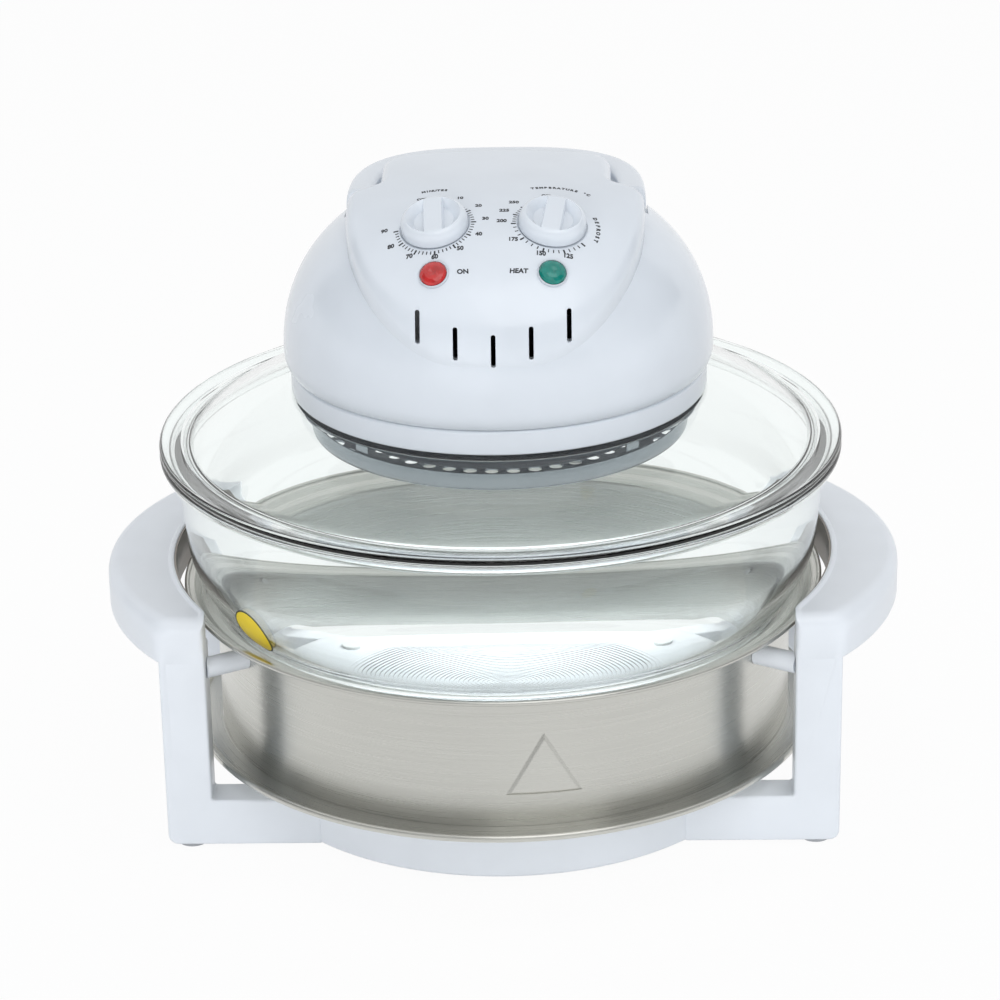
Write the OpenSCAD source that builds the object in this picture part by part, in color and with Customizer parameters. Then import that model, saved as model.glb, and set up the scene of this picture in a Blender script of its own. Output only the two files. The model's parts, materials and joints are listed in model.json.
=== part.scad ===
/* [Base] */
// Height of the rubber feet
foot_h = 2; // [1.5:0.5:6]
// Radius of a rubber foot
foot_r = 7; // [5:0.5:9]
// How far the round base stands inside the steel band
base_in = 15; // [13:1:23]
// Height of the round base
base_h = 24; // [20:1:30]
// Wall of the round base
base_t = 4; // [3:0.5:6]
// Round at the lower edge of the base
base_round = 2; // [1:0.5:10]
// Height of the pads under the bowl
pad_h = 2; // [1.5:0.5:5]
// Radius of a bowl pad
pad_r = 5; // [3:0.5:6]
// Distance of the bowl pads from the edge of the base
pad_in = 23; // [22:1:40]

/* [Legs] */
// How far the legs' inner faces stand inside the handle's inner edge
leg_under = 5; // [4:0.2:7]
// Width of a leg
leg_w = 22.5; // [18:0.5:28]
// Depth of a leg, front to back
leg_d = 19; // [15:1:24]
// Distance of the legs' outer faces, front to back
leg_span = 182; // [178:1:190]
// Height of a foot bar
bar_h = 24; // [18:1:24]
// Height of a leg below the side handle
leg_h = 96; // [96:1:100]
// Round at the outer foot of a leg
leg_round = 5; // [2:1:8]

/* [Side handles] */
// Gap between the band's upper rim and the handle's inner edge
grip_clear = 4.5; // [3.5:0.5:6]
// Bulge of a side handle beyond the legs
grip_sag = 32; // [22:1:36]
// Height of a side handle
grip_h = 22; // [21:1:30]
// Wall of a side handle
grip_t = 3; // [2:0.5:4]
// Height of the lip along the handle's inner edge
lip_h = 1.2; // [0.5:0.1:2]
// Thickness of the heat liner
liner_t = 0.8; // [0.5:0.1:1.2]
// Height of the heat liner
liner_h = 20; // [14:1:22]
// Length of the tongue of a leg inside the handle
tongue_h = 17; // [14:1:18]

/* [Band] */
// Gap between the bowl's shoulder and the steel band
band_clear = 2.8; // [2.6:0.1:5]
// Sheet thickness of the band
band_t = 0.6; // [0.4:0.1:0.8]
// Height of the band's upright wall
band_h = 74.5; // [70:0.5:75]
// Width of the band's upper flange
rim_run = 15.5; // [13:0.5:17]
// Rise of the flange from the wall to the rim
flange_h = 6.6; // [6:0.1:9]
// Radius of the rolled bead
bead_r = 1.2; // [0.8:0.1:1.6]
// How far the lower rim stands inside the upper one
lower_rim_in = 2; // [1.5:0.5:6]
// Height of the lower rim above the base
lower_rim_z = 11; // [8:1:14]
// Radius of a spacer between band and handle
spacer_r = 5; // [4:0.5:6]
// Height of the spacers above the base
spacer_z = 66; // [62:1:67]

/* [Bowl] */
// Radius of the glass rims
glass_rim_r = 165; // [160:1:170]
// Height of the bowl
bowl_h = 149.4; // [146:0.2:156]
// Wall of the bowl
bowl_t = 4.5; // [3.5:0.5:5.5]
// Thickness of the bowl's rim
bowl_rim_t = 3.6; // [3:0.2:5]
// How far the bowl's shoulder stands inside the rim
waist_in = 26.8; // [26:0.1:30]
// Height of the shoulder above the bowl's foot
waist_z = 70.2; // [68:0.2:72]
// Slope of the lower wall
low_slope = 12; // [8:1:16]
// Slope of the upper wall
top_slope = 5; // [3:1:7]
// Steepest slope of the shoulder
shoulder_slope = 43; // [38:1:46]
// Radius of the shoulder's upper curve
shoulder_r = 48; // [44:1:54]
// Radius of the shoulder's lower curve
waist_r = 12; // [10:1:14]
// Radius of the bowl's bottom corner
corner_r = 22; // [14:1:28]

/* [Lid] */
// Thickness of the lid glass
lid_t = 4; // [3:0.5:5]
// Width of the flat rim of the lid
lid_flat_w = 11.5; // [9:0.5:14]
// Distance of the dome's foot from the lid's edge
lid_foot_in = 15; // [14:0.5:18]
// Rise of the lid's dome
lid_rise = 23.5; // [20:0.5:30]
// Gap between the can and the edge of the lid's hole
lid_hole_w = 8; // [7:0.5:10]
// Depth of the lid's locating lip
lid_lip_h = 5; // [3:0.5:8]
// Distance of the locating lip from the lid's edge
lid_lip_in = 14; // [13:0.5:17]
// Width of the locating lip
lid_lip_w = 3; // [2:0.5:4]

/* [Head] */
// Radius of the head's base ring
ring_r = 100; // [99:0.5:102]
// Height of the head's base ring
ring_h = 11; // [8:0.5:14]
// Wall of the base ring
ring_t = 4; // [3:0.5:5]
// Floor of the base ring
ring_floor_t = 3; // [2:0.5:4]
// How far the head's shell stands over the base ring
dome_out = 3; // [2:0.5:6]
// Rise of the shell above its widest line
dome_rise = 82; // [80:0.5:84]
// Fullness of the shell's curve
dome_power = 2.2; // [2.1:0.05:2.3]
// Height of the tuck below the widest line
tuck_h = 8.3; // [6:0.1:10]
// Depth of the tuck
tuck_w = 4.5; // [2:0.5:5]
// Wall of the shell
shell_t = 2.5; // [2:0.25:3]
// Thickness of the gaskets on the glass
gasket_t = 0.9; // [0.6:0.1:1.5]
// How far the gaskets stand inside the base ring
gasket_in = 4; // [2:1:8]
// Distance of the gaskets from the edge of the lid's hole
gasket_edge = 2; // [1:0.5:4]

/* [Control panel] */
// How far the panel's sides stand inside the shell
panel_side_in = 33; // [31:1:37]
// How much shorter the panel's reach is than the shell's radius
panel_tip_in = 17; // [16:1:19]
// Place of the panel's shoulders behind the front
panel_mid_y = -14; // [-16:1:-13]
// Fullness of the panel's outline
panel_power = 2.35; // [2.1:0.05:2.6]
// How much larger than the shell the panel's face is about its own axis
face_out = 24; // [23:0.5:27]
// Rise of the panel's face
face_rise = 88; // [86:0.5:90]
// Fullness of the panel's face
face_power = 2.7; // [2.6:0.05:2.8]
// Place of the face's axis behind the head's axis
face_axis_y = 24; // [22:0.5:26]
// Height of the face's widest line above the shell's
face_drop = -3; // [-4:0.5:-2]
// Half width of the top tab
tab_half = 52; // [48:0.5:53]
// Back edge of the top tab
tab_back = 36; // [32:1:38]
// Corner of the top tab
tab_corner = 12; // [8:1:16]
// Distance of the knobs from the middle
knob_x = 27; // [25:0.5:30]
// Place of the knobs in front of the axis
knob_y = -51; // [-54:0.5:-48]
// Place of the lamps in front of the axis
lamp_y = -80; // [-82:0.5:-78]
// Radius of a lamp lens
lens_r = 6.3; // [5:0.1:7]
// Width of a lamp's bezel
bezel_w = 1.2; // [0.8:0.1:1.6]
// Width of a vent slit
slit_w = 2.2; // [1.5:0.1:3]
// Height of a vent slit
slit_h = 14.5; // [10:0.5:18]
// Distance between vent slits
slit_step = 17.2; // [14:0.1:19]
// Height of the middle slit above the shell's widest line
slit_z = 30; // [27:1:32]

/* [Knobs] */
// Radius of a knob's skirt
knob_r = 15.6; // [13:0.1:16.5]
// Height of a knob's skirt
skirt_h = 6; // [4:0.5:7]
// Full height of a knob
knob_h = 10; // [9:0.5:14]
// Width of a knob's grip bar
knob_bar_w = 9.6; // [8:0.2:12]
// Radius of the control shafts
stem_r = 3; // [2.5:0.1:3.5]
// Depth of the seats under the knobs
knob_seat = 1; // [0.8:0.1:1.2]
// Side of the timer's housing
timer_side = 34; // [28:1:36]
// Radius of the thermostat's housing
thermostat_r = 16; // [12:1:17]
// Depth of both housings
control_h = 18; // [14:1:20]

/* [Heater] */
// How far the heat can stands inside the base ring
can_in = 22; // [21.6:0.1:24]
// Sheet of the can and the guard
sheet_t = 0.8; // [0.6:0.1:1]
// Depth of the can below its flange
can_drop = 10; // [8:0.5:12]
// Height of the can above its flange
can_up = 15.5; // [15:0.5:17]
// Distance of the heater ring from the can's wall
heater_in = 18; // [16:1:24]
// Radius of the heater's glass tube
tube_r = 4.5; // [3.5:0.5:4.5]
// Part of a circle that the heater covers
heater_turn = 300; // [280:5:310]
// How far the guard stands out from the can
guard_out = 12.3; // [9:0.1:14]
// Height of the guard's rim
guard_h = 8; // [6:0.5:10]
// Depth of the guard's plate below the can's flange
guard_drop = 15; // [14.5:0.5:17]
// Radius of the smallest holes of the guard
guard_hole_r = 2.2; // [1.5:0.1:2.4]
// Distance between rings of guard holes
guard_ring_step = 14; // [12:0.5:15]

/* [Motor] */
// Radius of the motor shaft
shaft_r = 3; // [2.5:0.5:3]
// Width of the motor's iron core
core_w = 48; // [40:1:50]
// Depth of the motor's iron core
core_d = 40; // [34:1:44]
// Height of the motor's iron core
core_h = 16; // [12:1:16]
// Radius of the rotor
rotor_r = 13.2; // [10:0.1:13.5]
// Distance of the convection fan from the can's wall
hot_fan_in = 16; // [12:1:28]
// Height of the convection fan's blades
hot_blade_h = 7; // [5:0.5:7]
// Radius of the cooling fan
cool_fan_r = 36; // [28:1:38]

/* [Lift handle] */
// Half width of the lift handle
bail_half = 71; // [69:0.5:72]
// Reach of the lift handle behind the head's axis
bail_reach = 80; // [76:1:82]
// Width of the lift handle's bar
bail_w = 13.5; // [12:0.5:14]
// Half height of the bar at the pivot
bail_half_h = 7; // [5:0.5:7]
// Height of the bar at the grip
bail_grip_h = 12; // [9:0.5:13]
// Fullness of the lift handle's outline
bail_power = 3; // [2.8:0.1:3.4]
// Place of the pivot behind the head's axis
pivot_y = 8; // [8:0.5:10]
// Height of the pivot above the shell's widest line
pivot_z = 67; // [66:0.5:68]
// Drop of the grip below the pivot
bail_drop = 6; // [4:0.5:7]
// Radius of the pivot pins
pin_r = 2.5; // [2:0.1:3]
// Depth of the recess below the pivot
well_depth = 17; // [16:0.5:20]
// Corner of the recess in plan
well_round = 46; // [36:1:50]
// Radius of the switch plunger
plunger_r = 2; // [1.5:0.1:2.5]

/* [Fits] */
// Gap between pieces that are seated on each other
seat_gap = 0.1; // [0.05:0.05:0.2]
// Radial clearance of a turning fit
run_gap = 0.05; // [0.03:0.01:0.08]
// Gap between pieces that lift off each other
lift_gap = 0.3; // [0.3:0.1:0.6]
// Radius of the screws
screw_r = 2; // [1.5:0.1:2.2]

/* [Hidden] */
$fn = 96;
white = "#e9eef3";
steel = "#b9bab8";
glass = "#cfe3ea";
dark = "#3c3f42";
cut = 0.5;          // how far a cutter runs past a face
tall = 400;         // longer than anything that is cut

// Radii that follow the rim of the glass and the ring of the head
bowl_waist_r = glass_rim_r - waist_in;
band_r = bowl_waist_r + band_clear;
rim_r = band_r + rim_run;
lower_rim_r = rim_r - lower_rim_in;
grip_in_r = rim_r + grip_clear;
base_r = band_r - base_in;
pad_at = base_r - pad_in;
lid_flat_r = glass_rim_r - lid_flat_w;
lid_foot_r = glass_rim_r - lid_foot_in;
lid_lip_r = glass_rim_r - lid_lip_in;
lid_top_r = ring_r;
can_r = ring_r - can_in;
lid_hole_r = can_r + lid_hole_w;
dome_r = ring_r + dome_out;
panel_half = dome_r - panel_side_in;
panel_reach = dome_r - panel_tip_in;
face_r = dome_r + face_out;
gasket_r = ring_r - gasket_in;
gasket_in_r = lid_hole_r + gasket_edge;
heater_r = can_r - heater_in;
guard_r = can_r + guard_out;
hot_fan_r = can_r - hot_fan_in;

// Heights of the main levels
base_top = foot_h + base_h;
bowl_foot = base_top + pad_h + seat_gap + lift_gap;
bowl_top = bowl_foot + bowl_h;
lid_seat = bowl_top + lift_gap;
lid_rim_top = lid_seat + lid_t;
lid_top = lid_rim_top + lid_rise;
ring_z = lid_top + gasket_t + 2 * seat_gap;
shell_z = ring_z + ring_h + seat_gap;
dome_z = shell_z + tuck_h;
flange_z = lid_top - lid_t - gasket_t - 2 * seat_gap - sheet_t;
can_top = flange_z + can_up;
face_z = dome_z + face_drop;

// Points of an arc about c from angle a0 to a1
function arc(c, r, a0, a1, n = 10) =
  [for (i = [0:n]) let (a = a0 + (a1 - a0) * i / n) [c[0] + r * cos(a), c[1] + r * sin(a)]];

// Quarter of a full curve with half widths a and b: x^p + y^p = 1, from the side to the top
function full_curve(a, b, p, n = 24) =
  [for (i = [0:n]) let (t = 90 * i / n) [a * pow(cos(t), 2 / p), b * pow(sin(t), 2 / p)]];
function lifted(pts, z) = [for (q = pts) [q[0], q[1] + z]];
function mirrored(pts) = [for (i = [len(pts) - 1:-1:0]) [-pts[i][0], pts[i][1]]];

// Height and slope of the panel's face at a distance d from its own axis
function face_h(d) = face_z + face_rise * pow(1 - pow(d / face_r, face_power), 1 / face_power);
function face_slope(d) = let (u = d / face_r)
  atan(face_rise / face_r * pow(1 - pow(u, face_power), 1 / face_power - 1) * pow(u, face_power - 1));

// Places children on the panel's face, their z along its normal and their y up the slope
module on_face(x, y) {
  d = norm([x, y - face_axis_y]);
  turn = atan2(y - face_axis_y, x);
  translate([x, y, face_h(d)]) rotate([0, face_slope(d), turn]) rotate([0, 0, -turn]) children();
}

module ring_of(count, start = 0) {
  for (i = [0:count - 1]) rotate([0, 0, start + 360 * i / count]) children();
}

module pipe(r1, r0, h) {
  difference() {
    cylinder(r = r1, h = h);
    translate([0, 0, -cut]) cylinder(r = r0, h = h + 2 * cut);
  }
}

// Copies from the front right corner of the stand
module corner_at(sx, sy) { mirror([sx < 0 ? 1 : 0, 0, 0]) mirror([0, sy > 0 ? 1 : 0, 0]) children(); }
module all_corners() { for (sx = [1, -1]) for (sy = [-1, 1]) corner_at(sx, sy) children(); }

// Stand
leg_y = leg_span / 2;
leg_in = sqrt(pow(grip_in_r, 2) - pow(leg_y - leg_d, 2)) - leg_under;
leg_out = leg_in + leg_w;
leg_mid_y = leg_y - leg_d / 2;
leg_top = foot_h + leg_h;
bar_top = foot_h + bar_h;
bar_start = sqrt(pow(base_r, 2) - pow(leg_y, 2)) - cut;
leg_fillet = 3;
grip_out = leg_out + grip_sag;
grip_r = (pow(leg_y, 2) + pow(grip_sag, 2)) / (2 * grip_sag);
grip_z = leg_top + seat_gap;
spacer_at = base_top + spacer_z;
spacer_turn = atan(leg_mid_y / leg_in);
bar_turn = atan(leg_mid_y / sqrt(pow(base_r, 2) - pow(leg_mid_y, 2)));
base_screw_z = foot_h + base_h / 2;
screw_hole = screw_r + seat_gap;
head_r = 1.6 * screw_r;
spacer_end = leg_in - seat_gap;
screw_reach = 7;

// A radial rod at a corner of the stand, from r0 to r1
module radial_rod(turn, z, r, r0, r1) {
  rotate([0, 0, -turn]) translate([r0, 0, z]) rotate([0, 90, 0]) cylinder(r = r, h = r1 - r0, $fn = 48);
}

module base_disc() {
  color(white) difference() {
    rotate_extrude() polygon(concat([[0, foot_h]],
      arc([base_r - base_round, foot_h + base_round], base_round, -90, 0, 8),
      arc([base_r - 2, base_top - 2], 2, 0, 90, 5), [[0, base_top]]));
    translate([0, 0, foot_h - cut]) cylinder(r = base_r - base_t, h = base_h - base_t + cut);
    all_corners() radial_rod(bar_turn, base_screw_z, screw_hole, base_r - 2 * base_t, base_r + 1);
  }
}

module leg() {
  color(white) difference() {
    union() {
      translate([0, leg_d - leg_y, 0]) rotate([90, 0, 0]) linear_extrude(leg_d) polygon(concat(
        [[bar_start, foot_h]],
        arc([leg_out - leg_round, foot_h + leg_round], leg_round, -90, 0, 6),
        [[leg_out, leg_top], [leg_in, leg_top]],
        arc([leg_in - leg_fillet, bar_top + leg_fillet], leg_fillet, 0, -90, 4),
        [[bar_start, bar_top]]));
      difference() {
        translate([leg_in, -leg_y + grip_t + lift_gap, leg_top - cut])
          cube([leg_w - grip_t - lift_gap, leg_d - 2 * grip_t, tongue_h + cut]);
        cylinder(r = grip_in_r + grip_t + lift_gap, h = tall);
      }
    }
    translate([0, 0, -cut]) cylinder(r = base_r + seat_gap, h = base_top + 2 * cut);
    radial_rod(bar_turn, base_screw_z, screw_hole, base_r - 1, base_r + screw_reach + 1);
    radial_rod(spacer_turn, spacer_at, screw_hole, band_r, grip_in_r + tall / 8);
  }
}

// Plan of a side handle, drawn in by a wall
module grip_plan(wall = 0) {
  difference() {
    intersection() {
      translate([grip_out - grip_r, 0]) circle(r = grip_r - wall);
      translate([0, wall - leg_y]) square([grip_out, 2 * (leg_y - wall)]);
    }
    circle(r = grip_in_r + wall);
    translate([-grip_out, -leg_y]) square([grip_out + leg_in / 2, leg_span]);
  }
}

module side_handle() {
  color(white) difference() {
    union() {
      translate([0, 0, grip_z]) linear_extrude(grip_h) grip_plan();
      intersection() {
        translate([0, 0, grip_z + grip_h - cut]) pipe(grip_in_r + grip_t / 2, grip_in_r, lip_h + cut);
        translate([leg_in / 2, -leg_y, grip_z]) cube([leg_in, leg_span, tall]);
      }
    }
    translate([0, 0, grip_z - cut]) linear_extrude(grip_h - grip_t + cut) grip_plan(grip_t);
  }
}

module liner() {
  liner_out = grip_in_r - seat_gap;
  color("#80786f") intersection() {
    translate([0, 0, grip_z + grip_h - liner_h]) pipe(liner_out, liner_out - liner_t, liner_h);
    translate([leg_in / 2, -leg_y + 2 * leg_d / 3 + 2 * spacer_r, 0])
      cube([leg_in, leg_span - 4 * leg_d / 3 - 4 * spacer_r, tall]);
  }
}

lower_z = base_top + lower_rim_z;
wall_low = lower_z - 1;
wall_top = base_top + band_h;
rim_z = wall_top + flange_h;

module heat_band() {
  in_r = band_r - band_t;
  run = rim_r - band_r;
  color(steel) difference() {
    rotate_extrude() union() {
      polygon([[in_r, wall_low], [band_r, wall_low], [band_r, wall_top],
        [band_r + 0.25 * run, wall_top + 0.3 * flange_h], [band_r + 0.5 * run, wall_top + 0.4 * flange_h],
        [band_r + 0.72 * run, wall_top + 0.86 * flange_h], [rim_r - bead_r, rim_z - band_t],
        [rim_r - bead_r, rim_z], [band_r + 0.68 * run, wall_top + 0.92 * flange_h],
        [band_r + 0.45 * run, wall_top + 0.52 * flange_h], [band_r + 0.2 * run, wall_top + 0.4 * flange_h],
        [in_r, wall_top + 0.1 * flange_h]]);
      translate([rim_r - bead_r, rim_z]) circle(r = bead_r, $fn = 24);
    }
    all_corners() radial_rod(spacer_turn, spacer_at, screw_hole, in_r - 3, band_r + 3);
  }
}

module lower_rim() {
  in_r = band_r + seat_gap;
  z = lower_z;
  color(steel) rotate_extrude() union() {
    polygon([[in_r, wall_low], [in_r + 2 * band_t, wall_low], [lower_rim_r - 5, z - band_t],
      [lower_rim_r - 3.5, z - 1.5], [lower_rim_r - bead_r, z - band_t], [lower_rim_r - bead_r, z],
      [lower_rim_r - 3.5, z - 0.7], [lower_rim_r - 5, z + 0.2], [in_r, z + 1.6]]);
    translate([lower_rim_r - bead_r, z]) circle(r = bead_r, $fn = 24);
  }
}

module band_spacers() {
  color(white) all_corners() difference() {
    intersection() {
      radial_rod(spacer_turn, spacer_at, spacer_r, band_r - 2, grip_in_r + 2);
      difference() {
        translate([0, -spacer_end, 0]) cube([spacer_end, spacer_end, tall]);
        cylinder(r = band_r + seat_gap, h = tall);
      }
    }
    radial_rod(spacer_turn, spacer_at, screw_hole, band_r - 3, grip_in_r + 3);
  }
}

module band_screws() {
  in_r = band_r - band_t - seat_gap;
  color(steel) all_corners() union() {
    radial_rod(spacer_turn, spacer_at, screw_r, in_r - cut, grip_in_r + screw_reach);
    radial_rod(spacer_turn, spacer_at, head_r - 0.2, in_r - 1.2, in_r - 0.05);
  }
}

module base_screws() {
  in_r = base_r - base_t - seat_gap;
  color(steel) all_corners() union() {
    radial_rod(bar_turn, base_screw_z, screw_r, in_r - cut, base_r + screw_reach);
    radial_rod(bar_turn, base_screw_z, head_r, in_r - 2.5, in_r - 0.3);
  }
}

module rubber_feet() {
  color(dark) all_corners() translate([leg_out - leg_w / 2, -leg_mid_y, 0])
    cylinder(r = foot_r, h = foot_h - seat_gap);
}

module bowl_pads() {
  color(dark) all_corners() rotate([0, 0, -36]) translate([pad_at, 0, base_top + seat_gap])
    cylinder(r = pad_r, h = pad_h);
}

// Bowl: the outer side of its wall from foot to rim, moved inwards by off
waist_c = [bowl_waist_r + waist_r * cos(low_slope), bowl_foot + waist_z - waist_r * sin(low_slope)];
shoulder_c = [waist_c[0] - (waist_r + shoulder_r) * cos(shoulder_slope),
  waist_c[1] + (waist_r + shoulder_r) * sin(shoulder_slope)];
corner_z = bowl_foot + corner_r;
corner_top_z = corner_z - corner_r * sin(low_slope);
corner_x = bowl_waist_r - tan(low_slope) * (bowl_foot + waist_z - corner_top_z) - corner_r * cos(low_slope);
bowl_neck_z = bowl_top - bowl_rim_t - 3;
function neck_r(off) = shoulder_c[0] + (shoulder_r - off) * cos(top_slope)
  + tan(top_slope) * (bowl_neck_z - shoulder_c[1] + (shoulder_r - off) * sin(top_slope));
function bowl_side(off) = concat([[0, bowl_foot + off]],
  arc([corner_x, corner_z], corner_r - off, -90, -low_slope, 10),
  arc(waist_c, waist_r + off, 180 - low_slope, 180 - shoulder_slope, 5),
  arc(shoulder_c, shoulder_r - off, -shoulder_slope, -top_slope, 10),
  [[neck_r(off), bowl_neck_z]]);

module bowl() {
  color(glass, 0.4) rotate_extrude() difference() {
    polygon(concat(bowl_side(0), arc([glass_rim_r - 1.2, bowl_top - bowl_rim_t + 1.2], 1.2, -70, 0, 4),
      arc([glass_rim_r - 1.2, bowl_top - 1.2], 1.2, 0, 90, 4), [[0, bowl_top]]));
    polygon(concat(bowl_side(bowl_t), [[neck_r(bowl_t) + 0.3, bowl_top + cut], [0, bowl_top + cut]]));
  }
}

// Lid: an arc from the foot of the dome up to the flat under the head
lid_chord = norm([lid_foot_r - lid_top_r, lid_rise]);
lid_lean = atan(lid_rise / (lid_foot_r - lid_top_r));
lid_arc_r = 2 * lid_chord;
lid_half = asin(lid_chord / (2 * lid_arc_r));
lid_a0 = 90 - lid_lean - lid_half;
lid_a1 = 90 - lid_lean + lid_half;
lid_c = [lid_top_r - lid_arc_r * cos(lid_a1), lid_top - lid_arc_r * sin(lid_a1)];

module lid_glass() {
  lip_in = lid_lip_r - lid_lip_w;
  color(glass, 0.4) rotate_extrude() polygon(concat(
    [[lid_hole_r, lid_top - lid_t], [lid_top_r - 1, lid_top - lid_t]],
    arc(lid_c, lid_arc_r - lid_t, lid_a1, lid_a0 + 1.5, 12),
    [[lip_in, lid_seat + 0.5], [lip_in, lid_seat - lid_lip_h], [lid_lip_r, lid_seat - lid_lip_h],
      [lid_lip_r, lid_seat]],
    arc([glass_rim_r - 1.2, lid_seat + 1.2], 1.2, -90, 0, 4),
    arc([glass_rim_r - 1.2, lid_rim_top - 1.2], 1.2, 0, 90, 4),
    [[lid_flat_r + 1, lid_rim_top], [lid_flat_r, lid_rim_top - 0.8], [lid_foot_r + 1, lid_rim_top - 0.6]],
    arc(lid_c, lid_arc_r, lid_a0, lid_a1, 12),
    [[lid_hole_r, lid_top]]));
}

module upper_gasket() {
  color("#d8d8d4") translate([0, 0, lid_top + seat_gap]) pipe(gasket_r, gasket_in_r, gasket_t);
}

module lower_gasket() {
  color("#d8d8d4") translate([0, 0, lid_top - lid_t - gasket_t - seat_gap]) pipe(gasket_r, gasket_in_r, gasket_t);
}

// Head
screw_ring = (can_r + lid_hole_r) / 2;
small_head_r = (lid_hole_r - can_r) / 2 - 1;
small_screw_r = small_head_r / 1.8;
ring_floor_top = ring_z + ring_floor_t;

module head_base() {
  color(white) difference() {
    rotate_extrude() polygon(concat([[can_r + 2 * seat_gap + 1, ring_z]],
      arc([ring_r - 2, ring_z + 2], 2, -90, 0, 5),
      [[ring_r, ring_z + ring_h], [ring_r - ring_t, ring_z + ring_h], [ring_r - ring_t, ring_floor_top],
        [can_r + 2 * seat_gap + 1, ring_floor_top]]));
    ring_of(8) translate([screw_ring, 0, ring_z - cut])
      cylinder(r = small_screw_r + seat_gap, h = ring_floor_t + 2 * cut, $fn = 32);
  }
}

// The shell's outer form, grown by g
module dome_solid(g = 0) {
  rotate_extrude() polygon(concat([[0, shell_z - max(-g, 0)]],
    [for (i = [0:4]) let (a = -90 + 90 * i / 4)
      [dome_r + g - tuck_w * (1 - cos(a)), dome_z + (tuck_h + max(-g, 0)) * sin(a)]],
    lifted(full_curve(dome_r + g, dome_rise + g, dome_power), dome_z)));
}

// Plan of the recess round the top tab, widened by g
module well_plan(g = 0) {
  half = bail_half + 3 + g;
  back = bail_reach + 4 + g;
  round_r = well_round + g;
  front = pivot_y - bail_half_h - 0.8 - g;
  corner = max(tab_corner - g, 1);
  difference() {
    union() {
      translate([-half, front]) square([2 * half, back - round_r - front]);
      translate([round_r - half, front]) square([2 * (half - round_r), back - front]);
      for (s = [1, -1]) translate([s * (half - round_r), back - round_r]) circle(r = round_r);
    }
    translate([g - tab_half, front - 1]) square([2 * (tab_half - g), tab_back - g - corner - front + 1]);
    translate([g - tab_half + corner, front - 1]) square([2 * (tab_half - g - corner), tab_back - g - front + 1]);
    for (s = [1, -1]) translate([s * (tab_half - g - corner), tab_back - g - corner]) circle(r = corner);
  }
}

well_z = dome_z + pivot_z - well_depth;
module well(g = 0) { translate([0, 0, well_z - g]) linear_extrude(tall) well_plan(g); }

slit_lift = [0, 3, 9];
rear_slit_step = 6;
module slits() {
  for (i = [-2:2]) translate([i * slit_step, -dome_r / 2 - 10, dome_z + slit_z + slit_lift[abs(i)]])
    translate([-slit_w / 2, -tall, -slit_h / 2]) cube([slit_w, tall, slit_h]);
}

module rear_slits() {
  for (i = [-3:3]) if (i != 0) rotate([0, 0, i * rear_slit_step + sign(i) * 2 * rear_slit_step])
    translate([-slit_w / 2, dome_r / 2, inlet_z]) cube([slit_w, tall, inlet_h]);
}

inlet_w = 34;
inlet_h = 24;
inlet_z = dome_z + 10;
inlet_y = dome_r - 3;
inlet_t = 6;
inlet_edge = 3;
inlet_body = 20;
inlet_wall = 5;
socket_d = 18;

boss_r = 4;
module head_shell() {
  color(white) difference() {
    union() {
      difference() {
        difference() { dome_solid(0); well(0); }
        difference() { dome_solid(-shell_t); well(shell_t); }
      }
      intersection() {
        ring_of(4, 45) translate([screw_ring, 0, shell_z - ring_h + ring_floor_t])
          cylinder(r = boss_r, h = tall, $fn = 32);
        difference() { dome_solid(-shell_t / 2); well(shell_t / 2); }
      }
    }
    ring_of(4, 45) translate([screw_ring, 0, ring_z])
      cylinder(r = small_screw_r + seat_gap, h = ring_h + 8, $fn = 32);
    slits();
    rear_slits();
    for (s = [1, -1]) {
      on_face(s * knob_x, knob_y) translate([0, 0, -20]) cylinder(r = neck_r0 + 3 * seat_gap, h = 30, $fn = 48);
      on_face(s * knob_x, lamp_y) translate([0, 0, -20]) cylinder(r = lens_r + seat_gap, h = 30, $fn = 48);
      translate([s * (tab_half - 6), pivot_y, dome_z + pivot_z]) rotate([0, s * 90, 0])
        cylinder(r = pin_r + seat_gap, h = 8, $fn = 48);
    }
    translate([(bail_half - bail_w / 2), plunger_y, well_z - 2 * shell_t])
      cylinder(r = plunger_r + lift_gap, h = 4 * shell_t, $fn = 48);
    translate([-inlet_w / 2 - seat_gap, dome_r / 2, inlet_z - seat_gap])
      cube([inlet_w + 2 * seat_gap, dome_r, inlet_h + 2 * seat_gap]);
  }
}

// Plan of the control panel with its top tab
module panel_plan() {
  front = [for (q = full_curve(panel_half, panel_reach, panel_power, 24)) [q[0], panel_mid_y - q[1]]];
  shoulder = arc([panel_half - 8, panel_mid_y + 4], 8, 0, 80, 6);
  tab = arc([tab_half - tab_corner, tab_back - tab_corner], tab_corner, 0, 90, 6);
  right = concat([for (i = [len(front) - 1:-1:0]) front[i]], shoulder, [[tab_half, pivot_y - bail_half_h - 1.8]], tab);
  polygon(concat(right, mirrored(right)));
}

module face_solid() {
  translate([0, face_axis_y, 0]) rotate_extrude() polygon(concat([[0, face_z]],
    lifted(full_curve(face_r, face_rise, face_power, 30), face_z)));
}

neck_r0 = stem_r + 2;
module control_panel() {
  color(white) difference() {
    intersection() {
      face_solid();
      translate([0, 0, dome_z]) linear_extrude(tall) panel_plan();
    }
    dome_solid(seat_gap);
    slits();
    for (s = [1, -1]) {
      on_face(s * knob_x, knob_y) {
        translate([0, 0, -knob_seat]) cylinder(r = knob_r + 0.8, h = 20, $fn = 64);
        translate([0, 0, -20]) cylinder(r = neck_r0 + 2 * seat_gap, h = 30, $fn = 48);
      }
      on_face(s * knob_x, lamp_y) translate([0, 0, -20]) cylinder(r = lens_r + seat_gap, h = 30, $fn = 48);
    }
  }
}

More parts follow.
